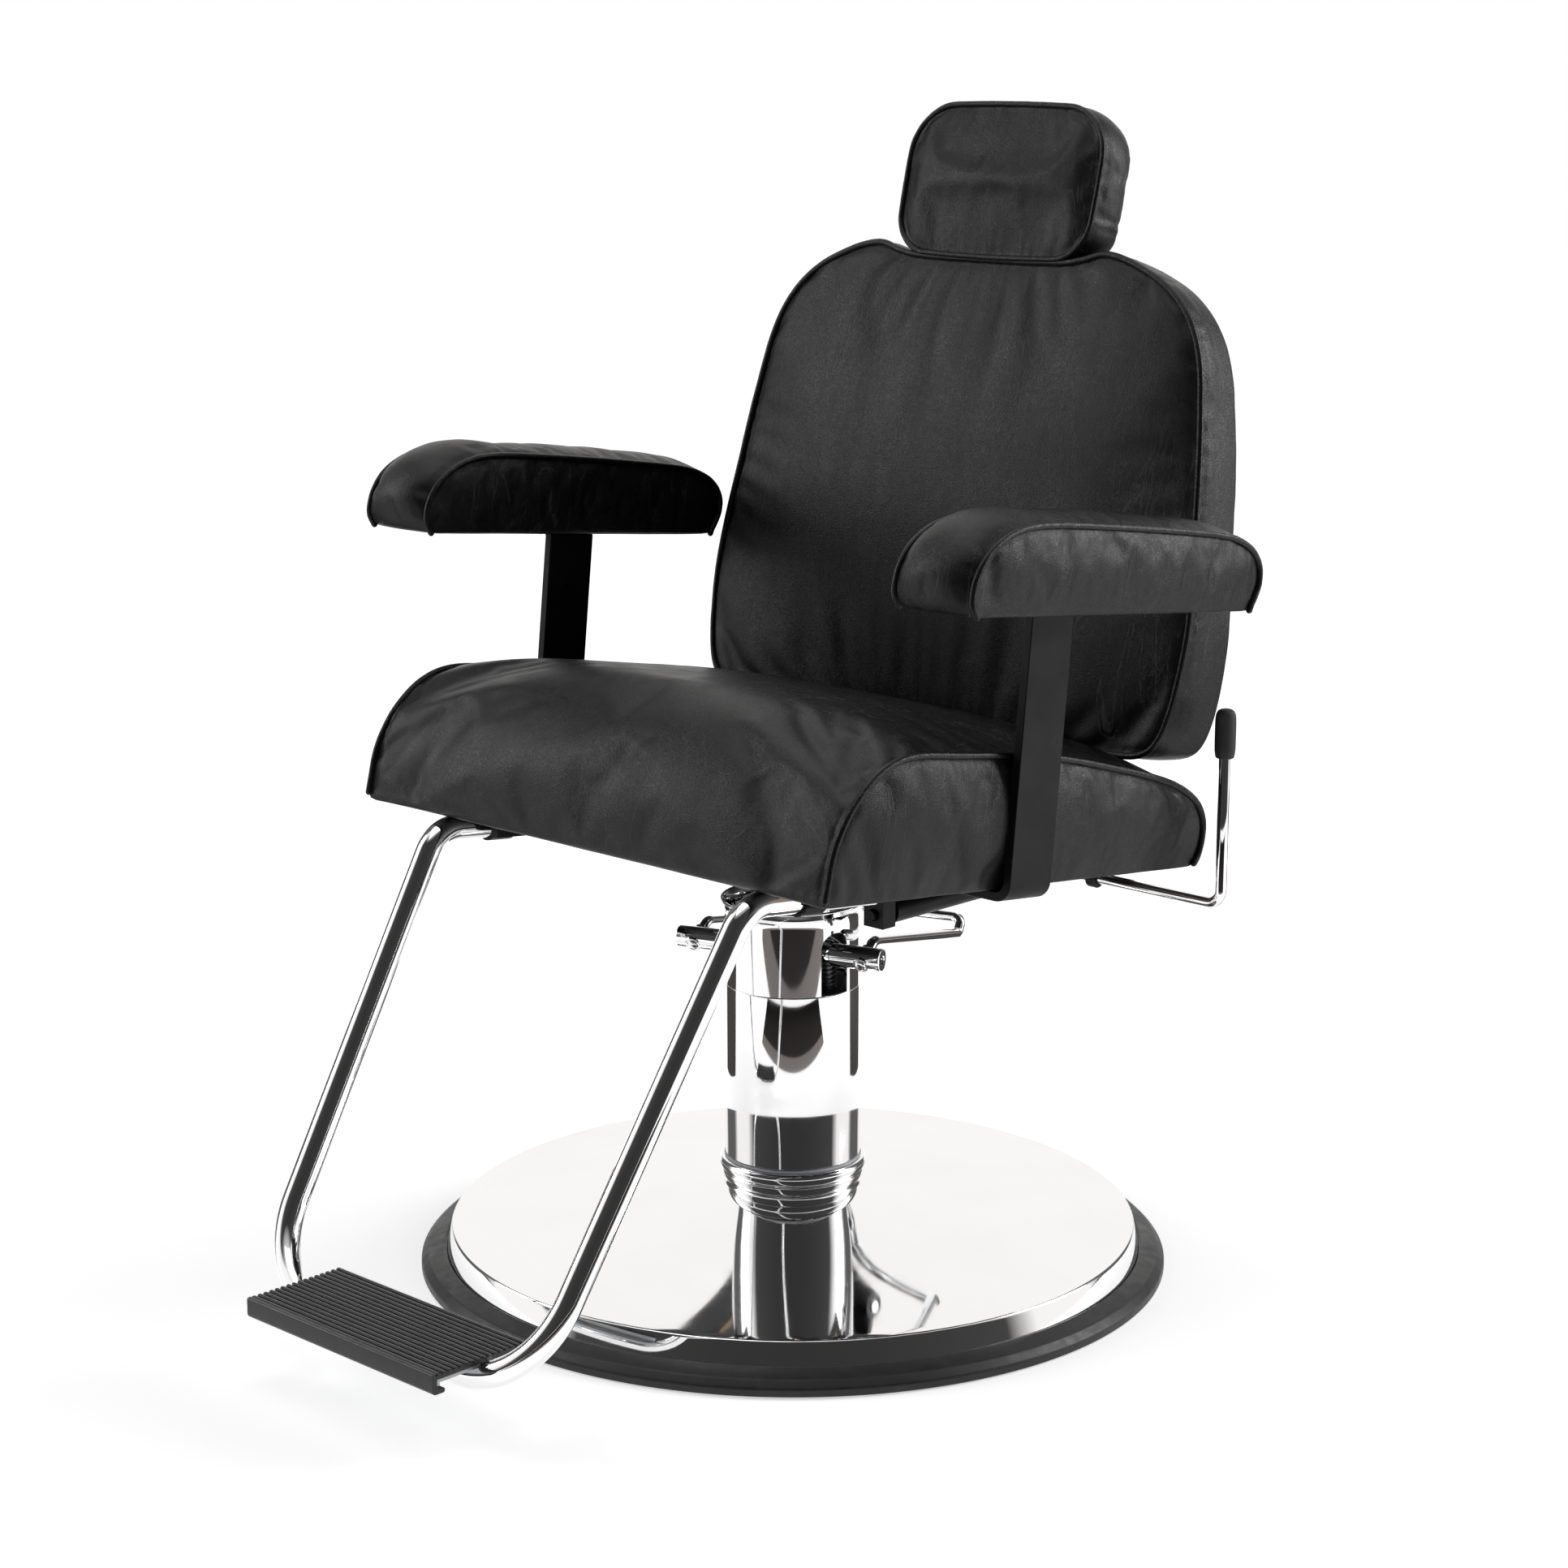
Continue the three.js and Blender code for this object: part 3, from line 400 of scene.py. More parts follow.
def sweep(name, path, radius, sides=24, closed=False, dome=0.0, sharp=50):
    """A round tube along a path. Its ends are domed by the given share of its radius."""
    p = [Vector(q) for q in path]
    radii = [radius] * len(p)
    if not closed:
        first, last = (p[0] - p[1]).normalized(), (p[-1] - p[-2]).normalized()
        steps = 5
        for k in range(1, steps + 1):
            a = math.pi / 2 * k / steps
            rise = math.sin(a) - math.sin(a - math.pi / 2 / steps)
            p.insert(0, p[0] + first * radius * dome * rise + first * 1e-4)
            p.append(p[-1] + last * radius * dome * rise + last * 1e-4)
            radii.insert(0, radius * max(math.cos(a), 0.02) if dome else radius * (1 - k / steps * 0.98))
            radii.append(radii[0])
    count = len(p)
    tangents = []
    for i in range(count):
        before, after = p[(i - 1) % count], p[(i + 1) % count]
        if not closed and i == 0:
            before = p[0]
        if not closed and i == count - 1:
            after = p[-1]
        tangents.append((after - before).normalized())
    normal = tangents[0].orthogonal().normalized()
    frames = [normal]
    for a, b in zip(tangents, tangents[1:]):
        normal = a.rotation_difference(b) @ normal
        normal = (normal - b * normal.dot(b)).normalized()
        frames.append(normal)
    twist = 0.0
    if closed:
        back_round = tangents[-1].rotation_difference(tangents[0]) @ frames[-1]
        twist = math.atan2(tangents[0].dot(back_round.cross(frames[0])), back_round.dot(frames[0]))
    points = []
    for i in range(count):
        spoke = Quaternion(tangents[i], twist * i / count) @ frames[i]
        for k in range(sides):
            spin = Quaternion(tangents[i], 2 * math.pi * k / sides)
            points.append(p[i] + (spin @ spoke) * radii[i])
    faces = []
    for i in range(count if closed else count - 1):
        j = (i + 1) % count
        for k in range(sides):
            m = (k + 1) % sides
            faces.append((i * sides + k, i * sides + m, j * sides + m, j * sides + k))
    if not closed:
        faces.append(tuple(range(sides)))
        faces.append(tuple((count - 1) * sides + k for k in range(sides)))
    return new_mesh(name, points, faces, sharp)


def prism(name, outline, a, b, axis="x", sharp=30):
    """A closed 2-D outline carried from a to b: along x it is (y, z), along y (x, z), along z (x, y)."""
    spot = {
        "x": lambda q, d: (d, q[0], q[1]),
        "y": lambda q, d: (q[0], d, q[1]),
        "z": lambda q, d: (q[0], q[1], d),
    }[axis]
    count = len(outline)
    points = [spot(q, a) for q in outline] + [spot(q, b) for q in outline]
    faces = [tuple(range(count)), tuple(range(count, 2 * count))]
    faces += [(i, (i + 1) % count, count + (i + 1) % count, count + i) for i in range(count)]
    return new_mesh(name, points, faces, sharp)


def joined(name, meshes):
    """Several meshes, each with a matrix in metres, as one mesh."""
    work = bmesh.new()
    for mesh, place in meshes:
        copy = mesh.copy()
        copy.transform(place)
        work.from_mesh(copy)
        bpy.data.meshes.remove(copy)
    made = bpy.data.meshes.new(name)
    work.to_mesh(made)
    work.free()
    return made


def at(x, y, z, turn=Matrix.Identity(4)):
    return Matrix.Translation((x * MM, y * MM, z * MM)) @ turn


def facing(direction):
    """The turn that points +Z along a direction."""
    return Vector((0, 0, 1)).rotation_difference(Vector(direction)).to_matrix().to_4x4()


# --- Padded shapes ---

def split_outline(line, corners, counts):
    """A closed outline cut at four corner points, each side resampled to its count of steps."""
    line = np.asarray(line, float)
    cuts = [int(np.argmin(np.linalg.norm(line - np.asarray(c, float), axis=1))) for c in corners]
    sides = []
    for k in range(4):
        a, b = cuts[k], cuts[(k + 1) % 4]
        part = line[a : b + 1] if b > a else np.vstack([line[a:], line[: b + 1]])
        sides.append(evenly(part, counts[k % 2]))
    return np.vstack([s[:-1] for s in sides])


def fill_grid(ring, n, m):
    """A Coons patch over a closed ring of 2 (n + m) points, relaxed so that its cells are even."""
    bottom = ring[: n + 1]
    right = ring[n : n + m + 1]
    top = ring[n + m : 2 * n + m + 1][::-1]
    left = np.vstack([ring[2 * n + m :], ring[:1]])[::-1]
    a = np.linspace(0, 1, n + 1)[:, None, None]
    b = np.linspace(0, 1, m + 1)[None, :, None]
    grid = (1 - b) * bottom[:, None] + b * top[:, None] + (1 - a) * left[None] + a * right[None]
    corner = (1 - a) * (1 - b) * bottom[0] + a * (1 - b) * bottom[-1] + (1 - a) * b * top[0] + a * b * top[-1]
    grid = grid - corner
    for _ in range(60):
        grid[1:-1, 1:-1] = (grid[:-2, 1:-1] + grid[2:, 1:-1] + grid[1:-1, :-2] + grid[1:-1, 2:]) / 4
    return grid


def swell(n, m, power=2.6):
    """How far each cell of a cap stands out, 0 at its edge and 1 in the middle."""
    a = np.abs(np.linspace(-1, 1, n + 1))[:, None]
    b = np.abs(np.linspace(-1, 1, m + 1))[None]
    return (1 - a**power) * (1 - b**power)


def pad_mesh(name, rings, n, m, caps, spot):
    """A closed pad: a stack of rings, with a filled and swollen cap on the first and the last.

    rings is (count, 2 (n + m), 3) in the pad's own (p, q, depth), and spot turns that into (x, y, z)."""
    count, size, _ = rings.shape
    points = list(rings.reshape(-1, 3))
    faces = []
    for i in range(count - 1):
        for k in range(size):
            j = (k + 1) % size
            faces.append((i * size + k, i * size + j, (i + 1) * size + j, (i + 1) * size + k))
    for row, height in ((0, caps[0]), (count - 1, caps[1])):
        grid = fill_grid(rings[row], n, m)
        grid[:, :, 2] += height
        index = -np.ones((n + 1, m + 1), int)
        index[:, 0] = row * size + np.arange(n + 1)
        index[n, :] = row * size + n + np.arange(m + 1)
        index[:, m] = row * size + n + m + np.arange(n + 1)[::-1]
        index[0, :] = row * size + (2 * n + m + np.arange(m + 1)[::-1]) % size
        for i in range(1, n):
            for j in range(1, m):
                index[i, j] = len(points)
                points.append(grid[i, j])
        for i in range(n):
            for j in range(m):
                faces.append((index[i, j], index[i + 1, j], index[i + 1, j + 1], index[i, j + 1]))
    return new_mesh(name, [spot(q) for q in points], faces, 180)


def outward(ring):
    """Unit normals of a closed 2-D ring that runs anticlockwise."""
    along = np.roll(ring, -1, 0) - np.roll(ring, 1, 0)
    normal = np.column_stack([along[:, 1], -along[:, 0]])
    return normal / np.linalg.norm(normal, axis=1)[:, None]


def ease(value, low, high):
    t = np.clip((np.asarray(value, float) - low) / (high - low), 0, 1)
    return t * t * (3 - 2 * t)


def held_points(mesh, seams, tucked):
    """The vertices that a cloth run may not move: those on a seam, and those where tucked(co) is true."""
    sewn_down = {tuple(np.round(np.array(q) * MM, 5)) for seam in seams for q in seam}
    return [v.index for v in mesh.vertices if tucked(v.co) or tuple(np.round(v.co, 5)) in sewn_down]


def inflate(obj, held, pressure, cap, frames=20):
    """Cloth under pressure, with some vertices held. No point moves further than the cap (millimetres)."""
    mesh = obj.data
    group = obj.vertex_groups.new(name="held")
    group.add(held, 1.0, "REPLACE")
    rest = np.empty(len(mesh.vertices) * 3)
    mesh.vertices.foreach_get("co", rest)
    rest = rest.reshape(-1, 3)
    cloth = obj.modifiers.new("cloth", "CLOTH")
    settings = cloth.settings
    settings.quality = 6
    settings.mass = 0.4
    settings.tension_stiffness = 18
    settings.compression_stiffness = 18
    settings.shear_stiffness = 6
    settings.bending_stiffness = 0.6
    settings.use_pressure = True
    settings.uniform_pressure_force = pressure
    settings.vertex_group_mass = "held"
    settings.shrink_min = -0.012
    settings.effector_weights.gravity = 0
    cloth.point_cache.frame_start = 1
    cloth.point_cache.frame_end = frames
    for step in range(1, frames + 1):
        scene.frame_set(step)
    shaped = obj.evaluated_get(bpy.context.evaluated_depsgraph_get())
    co = np.empty(len(mesh.vertices) * 3)
    shaped.data.vertices.foreach_get("co", co)
    obj.modifiers.remove(cloth)
    obj.vertex_groups.clear()
    scene.frame_set(1)
    move = co.reshape(-1, 3) - rest
    length = np.linalg.norm(move, axis=1)
    limit = cap * MM
    share = np.where(length > 1e-9, limit * np.tanh(length / limit) / np.maximum(length, 1e-9), 0)
    mesh.vertices.foreach_set("co", (rest + move * share[:, None]).ravel())
    mesh.update()


def sewn(obj, seams, pucker=0.5, reach=11.0, groove=1.1, pitch=17.0, seed=1):
    """Pulls the cover in beside its seams: a shallow groove, then fine puckers that fade with distance.

    Stores how near each vertex is to a seam, for wear. Seams are lists of local points in millimetres."""
    mesh = obj.data
    tree = kdtree.KDTree(sum(len(s) for s in seams))
    place = 0
    marks = {}
    for line in seams:
        run = 0.0
        for i, q in enumerate(line):
            if i:
                run += float(np.linalg.norm(np.asarray(q) - np.asarray(line[i - 1])))
            tree.insert(Vector(q), place)
            marks[place] = run
            place += 1
    tree.balance()
    near = np.zeros(len(mesh.vertices), np.float32)
    moved = []
    for v in mesh.vertices:
        here = v.co / MM
        _, index, gap = tree.find(here)
        near[v.index] = math.exp(-((gap / 6.0) ** 2))
        run = marks[index]
        fold = noise.noise(Vector((run / pitch, gap / 60.0, seed * 7.3))) * 1.6
        fold += 0.6 * noise.noise(Vector((run / (pitch * 0.43), gap / 40.0, seed * 3.1)))
        fade = math.exp(-gap / reach) * min(gap / 3.0, 1.0)
        dip = groove * math.exp(-(((gap - 5.2) / 1.9) ** 2))
        lump = 0.35 * noise.noise(here / 46.0 + Vector((seed * 11.0, 0, 0)))
        settle = min(gap / 25.0, 1.0)
        moved.append(v.co + v.normal * MM * (fold * pucker * fade - dip + lump * settle))
    for v, co in zip(mesh.vertices, moved):
        v.co = co
    layer = mesh.attributes.new("seam", "FLOAT", "POINT")
    layer.data.foreach_set("value", near)
    mesh.update()


def subdivided(obj, levels=1):
    smooth = obj.modifiers.new("smooth", "SUBSURF")
    smooth.levels = levels
    smooth.render_levels = levels
    return obj


def welt(name, path, body, place, radius=2.9, closed=True):
    """Leather-covered cord along a seam, with the faint waves of its stitched flange."""
    path = evenly(path, int(len(path)), closed) if closed else np.asarray(path)
    mesh = sweep(name, [tuple(q) for q in path], radius, 12, closed, 0.9, 180)
    obj = piece(name, mesh, "welt", body, place)
    for v in mesh.vertices:
        wave = noise.noise(v.co * 160.0) * 0.16
        v.co += v.normal * wave * MM
    layer = mesh.attributes.new("seam", "FLOAT", "POINT")
    layer.data.foreach_set("value", np.ones(len(mesh.vertices), np.float32))
    return subdivided(obj)


# --- Seat ---

SEAT_HALF = 271
SEAT_LINE = [
    (-252, 1), (-249.5, 18), (-245.5, 42), (-237.5, 61), (-225.5, 79), (-207, 96.5), (-188, 107), (-168, 112),
    (-149, 113), (-107, 111), (-35, 107.4), (25, 102), (96, 90.4), (137, 82.8), (178.5, 72.2), (201, 62.4),
    (215, 52), (223, 38.4), (223.5, 22), (219, 7), (213, 0),
]


def along_y(q):
    """(y, z, depth) to (x, y, z)."""
    return (q[2], q[0], q[1])


def seat_cover():
    n, m = 84, 26
    curve = smooth_line(SEAT_LINE)[::-1]
    front_end, rear_end = SEAT_LINE[0], SEAT_LINE[-1]
    line = np.vstack([evenly([front_end, rear_end], 200)[:-1], curve])
    ring = split_outline(line, [front_end, rear_end, (197, 64), (-200, 101)], (n, m))
    normal = outward(ring)
    flat = np.zeros(len(ring), bool)
    flat[: n + 1] = True
    top = ease(ring[:, 1], 4, 70)
    front = ease(-ring[:, 0], 150, 240)
    crown = top * (17 - 7 * front) * (1 - 0.45 * ease(ring[:, 0], 150, 230))
    crown += (1 - top) * 3 * ease(ring[:, 1], 2, 24)
    across = np.sin(np.linspace(-1, 1, 89) * math.pi / 2 * 0.94) / math.sin(math.pi / 2 * 0.94)
    rings = []
    for a in across:
        rise = (1 - abs(a) ** 2.4) ** 0.85
        lift = 1 - abs(a) ** 6
        one = ring + normal * (crown * rise)[:, None]
        one[:, 1] += 3.2 * (1 - ease(ring[:, 1], 0, 40)) * lift
        one[flat] = ring[flat]
        one[flat, 1] = 3.6 * lift
        rings.append(np.column_stack([one, np.full(len(ring), a * SEAT_HALF)]))
    rings = np.array(rings)
    # The underside is tucked under the board's edge, and lies above it in the middle.
    under = rings[:, flat]
    along = np.minimum(under[:, :, 0] - front_end[0], rear_end[0] - under[:, :, 0])
    rim = np.minimum(SEAT_HALF - np.abs(under[:, :, 2]), along)
    rings[:, flat, 1] -= (rings[:, flat, 1] + 1.3) * ease(rim, 0, 9) - np.where(rim < 46, 0, 5)
    side = 6.5 * swell(n, m, 3.2)
    mesh = pad_mesh("seat_cover", rings, n, m, (-side, side), along_y)
    obj = piece("seat_cover", mesh, "leather", "seat", SEAT, ("seat_cushion",))
    seams = [[along_y(q) for q in rings[row][~flat][::-1]] for row in (0, -1)]
    inflate(obj, held_points(mesh, seams, lambda co: co.z < 0.003), 2.2, 9)
    sewn(obj, seams, seed=3)
    subdivided(obj)
    for (side_name, sign), seam in zip(SIDES, seams):
        path = smooth_line(evenly(seam, 110), steps=3)
        path = [(q[0] + sign * 0.9, q[1], q[2] + 0.7) for q in path]
        welt(f"seat_welt_{side_name}", path, "seat", SEAT, 3.1, False)


# --- Arms ---

ARM_LINE = [
    (-196, 231), (-202, 240), (-202, 252), (-198, 264), (-188.5, 277.5), (-173, 288.5), (-154, 296),
    (-132, 299.6), (-107, 300.6), (-57, 299.8), (-6, 298.4), (47, 296.2), (102, 293), (125, 289.4), (147, 280),
    (158, 266.5), (158.5, 252), (149, 232.5),
]
ARM_INNER = 275
ARM_OUTER = 351


def arm_cover(side_name, sign):
    n, m = 84, 18
    curve = smooth_line(ARM_LINE)[::-1]
    front_end, rear_end = ARM_LINE[0], ARM_LINE[-1]
    line = np.vstack([evenly([front_end, rear_end], 200)[:-1], curve])
    ring = split_outline(line, [front_end, rear_end, (153, 275), (-180, 284)], (n, m))
    normal = outward(ring)
    flat = np.zeros(len(ring), bool)
    flat[: n + 1] = True
    nose = ease(-ring[:, 0], 90, 185)
    crown = ease(ring[:, 1], 231, 262) * (8.5 + 4.5 * nose)
    crown += nose * 4 * (1 - ease(ring[:, 1], 231, 262))
    middle, half = (ARM_INNER + ARM_OUTER) / 2, (ARM_OUTER - ARM_INNER) / 2
    rings = []
    for a in np.linspace(-1, 1, 23):
        rise = (1 - abs(a) ** 2.2) ** 0.9
        one = ring + normal * (crown * rise)[:, None]
        one[flat] = ring[flat]
        one[flat, 1] = 231 + 0.5 * ease(ring[flat, 0], 100, 149)
        rings.append(np.column_stack([one, np.full(len(ring), sign * (middle + a * half))]))
    rings = np.array(rings)
    under = rings[:, flat]
    depth = half - np.abs(np.abs(under[:, :, 2]) - middle)
    rim = np.minimum(depth, np.minimum(under[:, :, 0] - front_end[0], rear_end[0] - under[:, :, 0]))
    rings[:, flat, 1] += np.where(rim > 7.5, 7.4, 0) - 0.4 * ease(rim, 0, 3)
    bulge = 4.2 * swell(n, m, 3.0) * sign
    mesh = pad_mesh(f"arm_cover_{side_name}", rings, n, m, (-bulge, bulge), along_y)
    obj = piece(f"arm_cover_{side_name}", mesh, "leather", "seat", SEAT, (f"arm_pad_{side_name}",))
    upper = list(range(n, len(ring))) + [0]
    seams = [[along_y(q) for q in rings[row][upper]] for row in (0, -1)]
    inflate(obj, held_points(mesh, seams, lambda co: co.z < 0.2395), 1.6, 4)
    sewn(obj, seams, 0.8, 13.0, 0.9, 15.0, 11 + sign)
    subdivided(obj)
    for where, seam, out in (("inner", seams[0], -1), ("outer", seams[1], 1)):
        path = smooth_line(evenly(seam, 96), steps=3)
        path = [(q[0] + sign * out * 0.8, q[1], q[2] + 0.4) for q in path]
        welt(f"arm_welt_{where}_{side_name}", path, "seat", SEAT, 2.8, False)


# --- Back ---

BACK_HALF_LINE = [
    (0, -20), (80, -20), (160, -20), (222, -19.6), (243, -17.4), (257, -11), (265.5, 1), (272, 23),
    (276, 53), (278, 83), (277.4, 108), (274, 147), (269, 186), (262.5, 239), (256.5, 277), (249.5, 313),
    (239, 340), (223.5, 362), (201, 380.5), (172, 394.5), (147, 402.6), (128, 404.6), (111, 400), (92, 396),
    (60, 394.4), (20, 394),
]


def along_z(q):
    """(x, z, depth) to (x, y, z)."""
    return (q[0], q[2], q[1])


def mirrored(half):
    left = [(-x, v) for x, v in half[1:]][::-1]
    return half + left


def back_depth(ring):
    """How far behind the front seam the rear edge lies, round the outline."""
    v = ring[:, 1]
    side = 74 - 12.5 * ease(v, -20, 190) - 13 * ease(v, 210, 400)
    middle = ease(-np.abs(ring[:, 0]), -150, -90) * ease(v, 300, 380)
    return side + middle * 12


def back_cover():
    n, m = 84, 84
    line = smooth_line(mirrored(BACK_HALF_LINE), closed=True)
    ring = split_outline(line, [(-243, -17.4), (243, -17.4), (223.5, 362), (-223.5, 362)], (n, m))
    normal = outward(ring)
    depth = back_depth(ring)
    rings = []
    for a in np.linspace(0, 1, 13):
        inset = -1.5 * math.sin(math.pi * a)
        rings.append(np.column_stack([ring - normal * inset, depth * a * 0.84]))
    round_rear = 12.0
    for a in np.linspace(0, 1, 8)[1:]:
        turn = a * math.pi / 2
        inset = round_rear * (1 - math.cos(turn))
        behind = depth * 0.84 + depth * 0.16 * math.sin(turn)
        rings.append(np.column_stack([ring - normal * inset, behind]))
    rings = np.array(rings)
    front = 15 * swell(n, m, 2.5)
    grid = fill_grid(rings[-1], n, m)
    target = 67.5 - grid[:, :, 2]
    rear = swell(n, m, 6) * np.clip(target, -8, 14)
    mesh = pad_mesh("back_leather", rings, n, m, (-front, rear), along_z)
    obj = piece("back_leather", mesh, "leather", "back", BACK, ("back_cushion", "back_cover"))
    seam = [along_z(q) for q in rings[0]]
    tail = [along_z(q) for q in rings[-1]]
    inflate(obj, held_points(mesh, [seam, tail], lambda co: co.y > 0.02), 1.8, 8)
    sewn(obj, [seam, tail], seed=5)
    subdivided(obj)
    path = smooth_line(evenly(seam, 240, True), True, 3)
    path = [(q[0], q[1] - 0.7, q[2]) for q in path]
    welt("back_welt", path, "back", BACK, 3.1)
    path = smooth_line(evenly(tail, 200, True), True, 3)
    welt("back_welt_rear", path, "back", BACK, 2.2)


# --- Headrest ---

def head_outline(half=108, low=-66, high=65, top=42, bottom=32):
    """A rounded rectangle with gently convex edges, running anticlockwise from the bottom left."""
    box = [(-half, low), (half, low), (half, high), (-half, high)]
    line = rounded(box, [bottom, bottom, top, top], 14, True)
    line = evenly(line, 400, True)
    out = []
    for x, v in line:
        bow_v = 3.2 * (1 - (x / half) ** 2)
        bow_x = 3.0 * (1 - (v / high) ** 2) if abs(v) < high else 0
        wider = math.copysign(bow_x, x) * ease(abs(x), 60, half)
        taller = math.copysign(bow_v, v) * ease(abs(v), 30, high)
        out.append((x + wider, v + taller))
    return np.array(out)


def headrest_cover():
    n, m = 56, 36
    line = head_outline()
    ring = split_outline(line, [(-98, -57), (98, -57), (95, 53), (-95, 53)], (n, m))
    normal = outward(ring)
    rings = []
    for a in np.linspace(0, 1, 12):
        bulge = normal * 2.2 * math.sin(math.pi * a) ** 0.8
        rings.append(np.column_stack([ring + bulge, np.full(len(ring), 36 * a)]))
    for a in np.linspace(0, 1, 8)[1:]:
        turn = a * math.pi / 2
        behind = np.full(len(ring), 36 + 10 * math.sin(turn))
        rings.append(np.column_stack([ring - normal * 11 * (1 - math.cos(turn)), behind]))
    rings = np.array(rings)
    front = 13 * swell(n, m, 2.4)
    rear = 2 * swell(n, m, 4)
    mesh = pad_mesh("headrest_cover", rings, n, m, (-front, rear), along_z)
    obj = piece("headrest_cover", mesh, "leather", "headrest", HEAD, ("headrest_cushion",))
    seam = [along_z(q) for q in rings[0]]
    tail = [along_z(q) for q in rings[-1]]
    inflate(obj, held_points(mesh, [seam, tail], lambda co: co.y > 0.0445), 1.6, 5)
    # One seam crosses the left side's band.
    joint = [(108.5 + 3 * math.sin(math.pi * t / 46), t, -33.0) for t in np.linspace(3, 44, 24)]
    sewn(obj, [seam, tail, joint], seed=8)
    subdivided(obj)
    path = smooth_line(evenly(seam, 150, True), True, 3)
    path = [(q[0], q[1] - 0.6, q[2]) for q in path]
    welt("headrest_welt", path, "headrest", HEAD, 2.7)
    path = smooth_line(evenly(tail, 130, True), True, 3)
    welt("headrest_welt_rear", path, "headrest", HEAD, 2.0)


seat_cover()
for side_name, sign in SIDES:
    arm_cover(side_name, sign)
back_cover()
headrest_cover()


# --- Base and column ---

SHAFT_Y = -27.0
SHAFT_Z = 287.5
HOLE_X = 80
HOLE_SLANT = math.radians(27)


def dome_height(r):
    """A shallow cone that sweeps up to the collar."""
    sweep = math.exp((62 - r) / 45) - math.exp((62 - 302) / 45)
    return 37 + 0.095 * (302 - r) + 10.7 * sweep


def base_pieces():
    reaches = np.concatenate([np.linspace(60, 140, 24), np.linspace(150, 300, 24)])
    slope = [(r, dome_height(r)) for r in reaches]
    top = [(57, 70.2)] + slope + [(301.3, 37), (302.3, 36.4), (303, 35), (308, 15)]
    under = [(306, 15), (301, 34), (299, 35.4)] + [(r - 1.8, z - 2) for r, z in slope[::-4]] + [(57, 67.8)]
    piece("dome", lathe("dome", top + under, 192, 60), "chrome", "base", stands_for=("base_dome",))
    ring = rounded(
        [(308.3, 0.2), (329, 0), (330, 1), (330, 7), (324, 13), (309.5, 18), (308.3, 17)],
        [0.5, 0.8, 0.8, 4, 5, 1.2, 0.5], 6, True,
    )
    piece("floor_ring", lathe("floor_ring", ring, 192, 60), "ring_rubber", "base", stands_for=("base_ring",))
    collar = smooth_line([(58, 70.5), (60.4, 72.6), (62, 76), (62.9, 79.4)], steps=5).tolist()
    collar += [(62.7, 80.3), (61.9, 80.9), (61.9, 81.5)]
    upper = [(62.6, 82), (64.3, 84.2), (65, 87.6), (64.4, 90.4), (62.9, 92.2)]
    collar += smooth_line(upper, steps=5).tolist()
    collar += [(61, 92.7), (55, 92.7), (55, 70.5)]
    piece("collar", lathe("collar", collar, 160, 50), "chrome", "base", stands_for=("base_collar",))
    gasket = rounded([(55, 93), (60.6, 93), (60.6, 95.7), (55, 95.7)], 0.7, 3, True)
    piece("gasket", lathe("gasket", gasket, 160, 50), "seal", "base", stands_for=("collar_gasket",))
    sleeve = rounded([(57.8, 96), (60, 96), (60, 251.7), (57.8, 251.7)], 0.8, 3, True)
    piece("sleeve", lathe("sleeve", sleeve, 160, 50), "chrome", "base", stands_for=("lower_sleeve",))


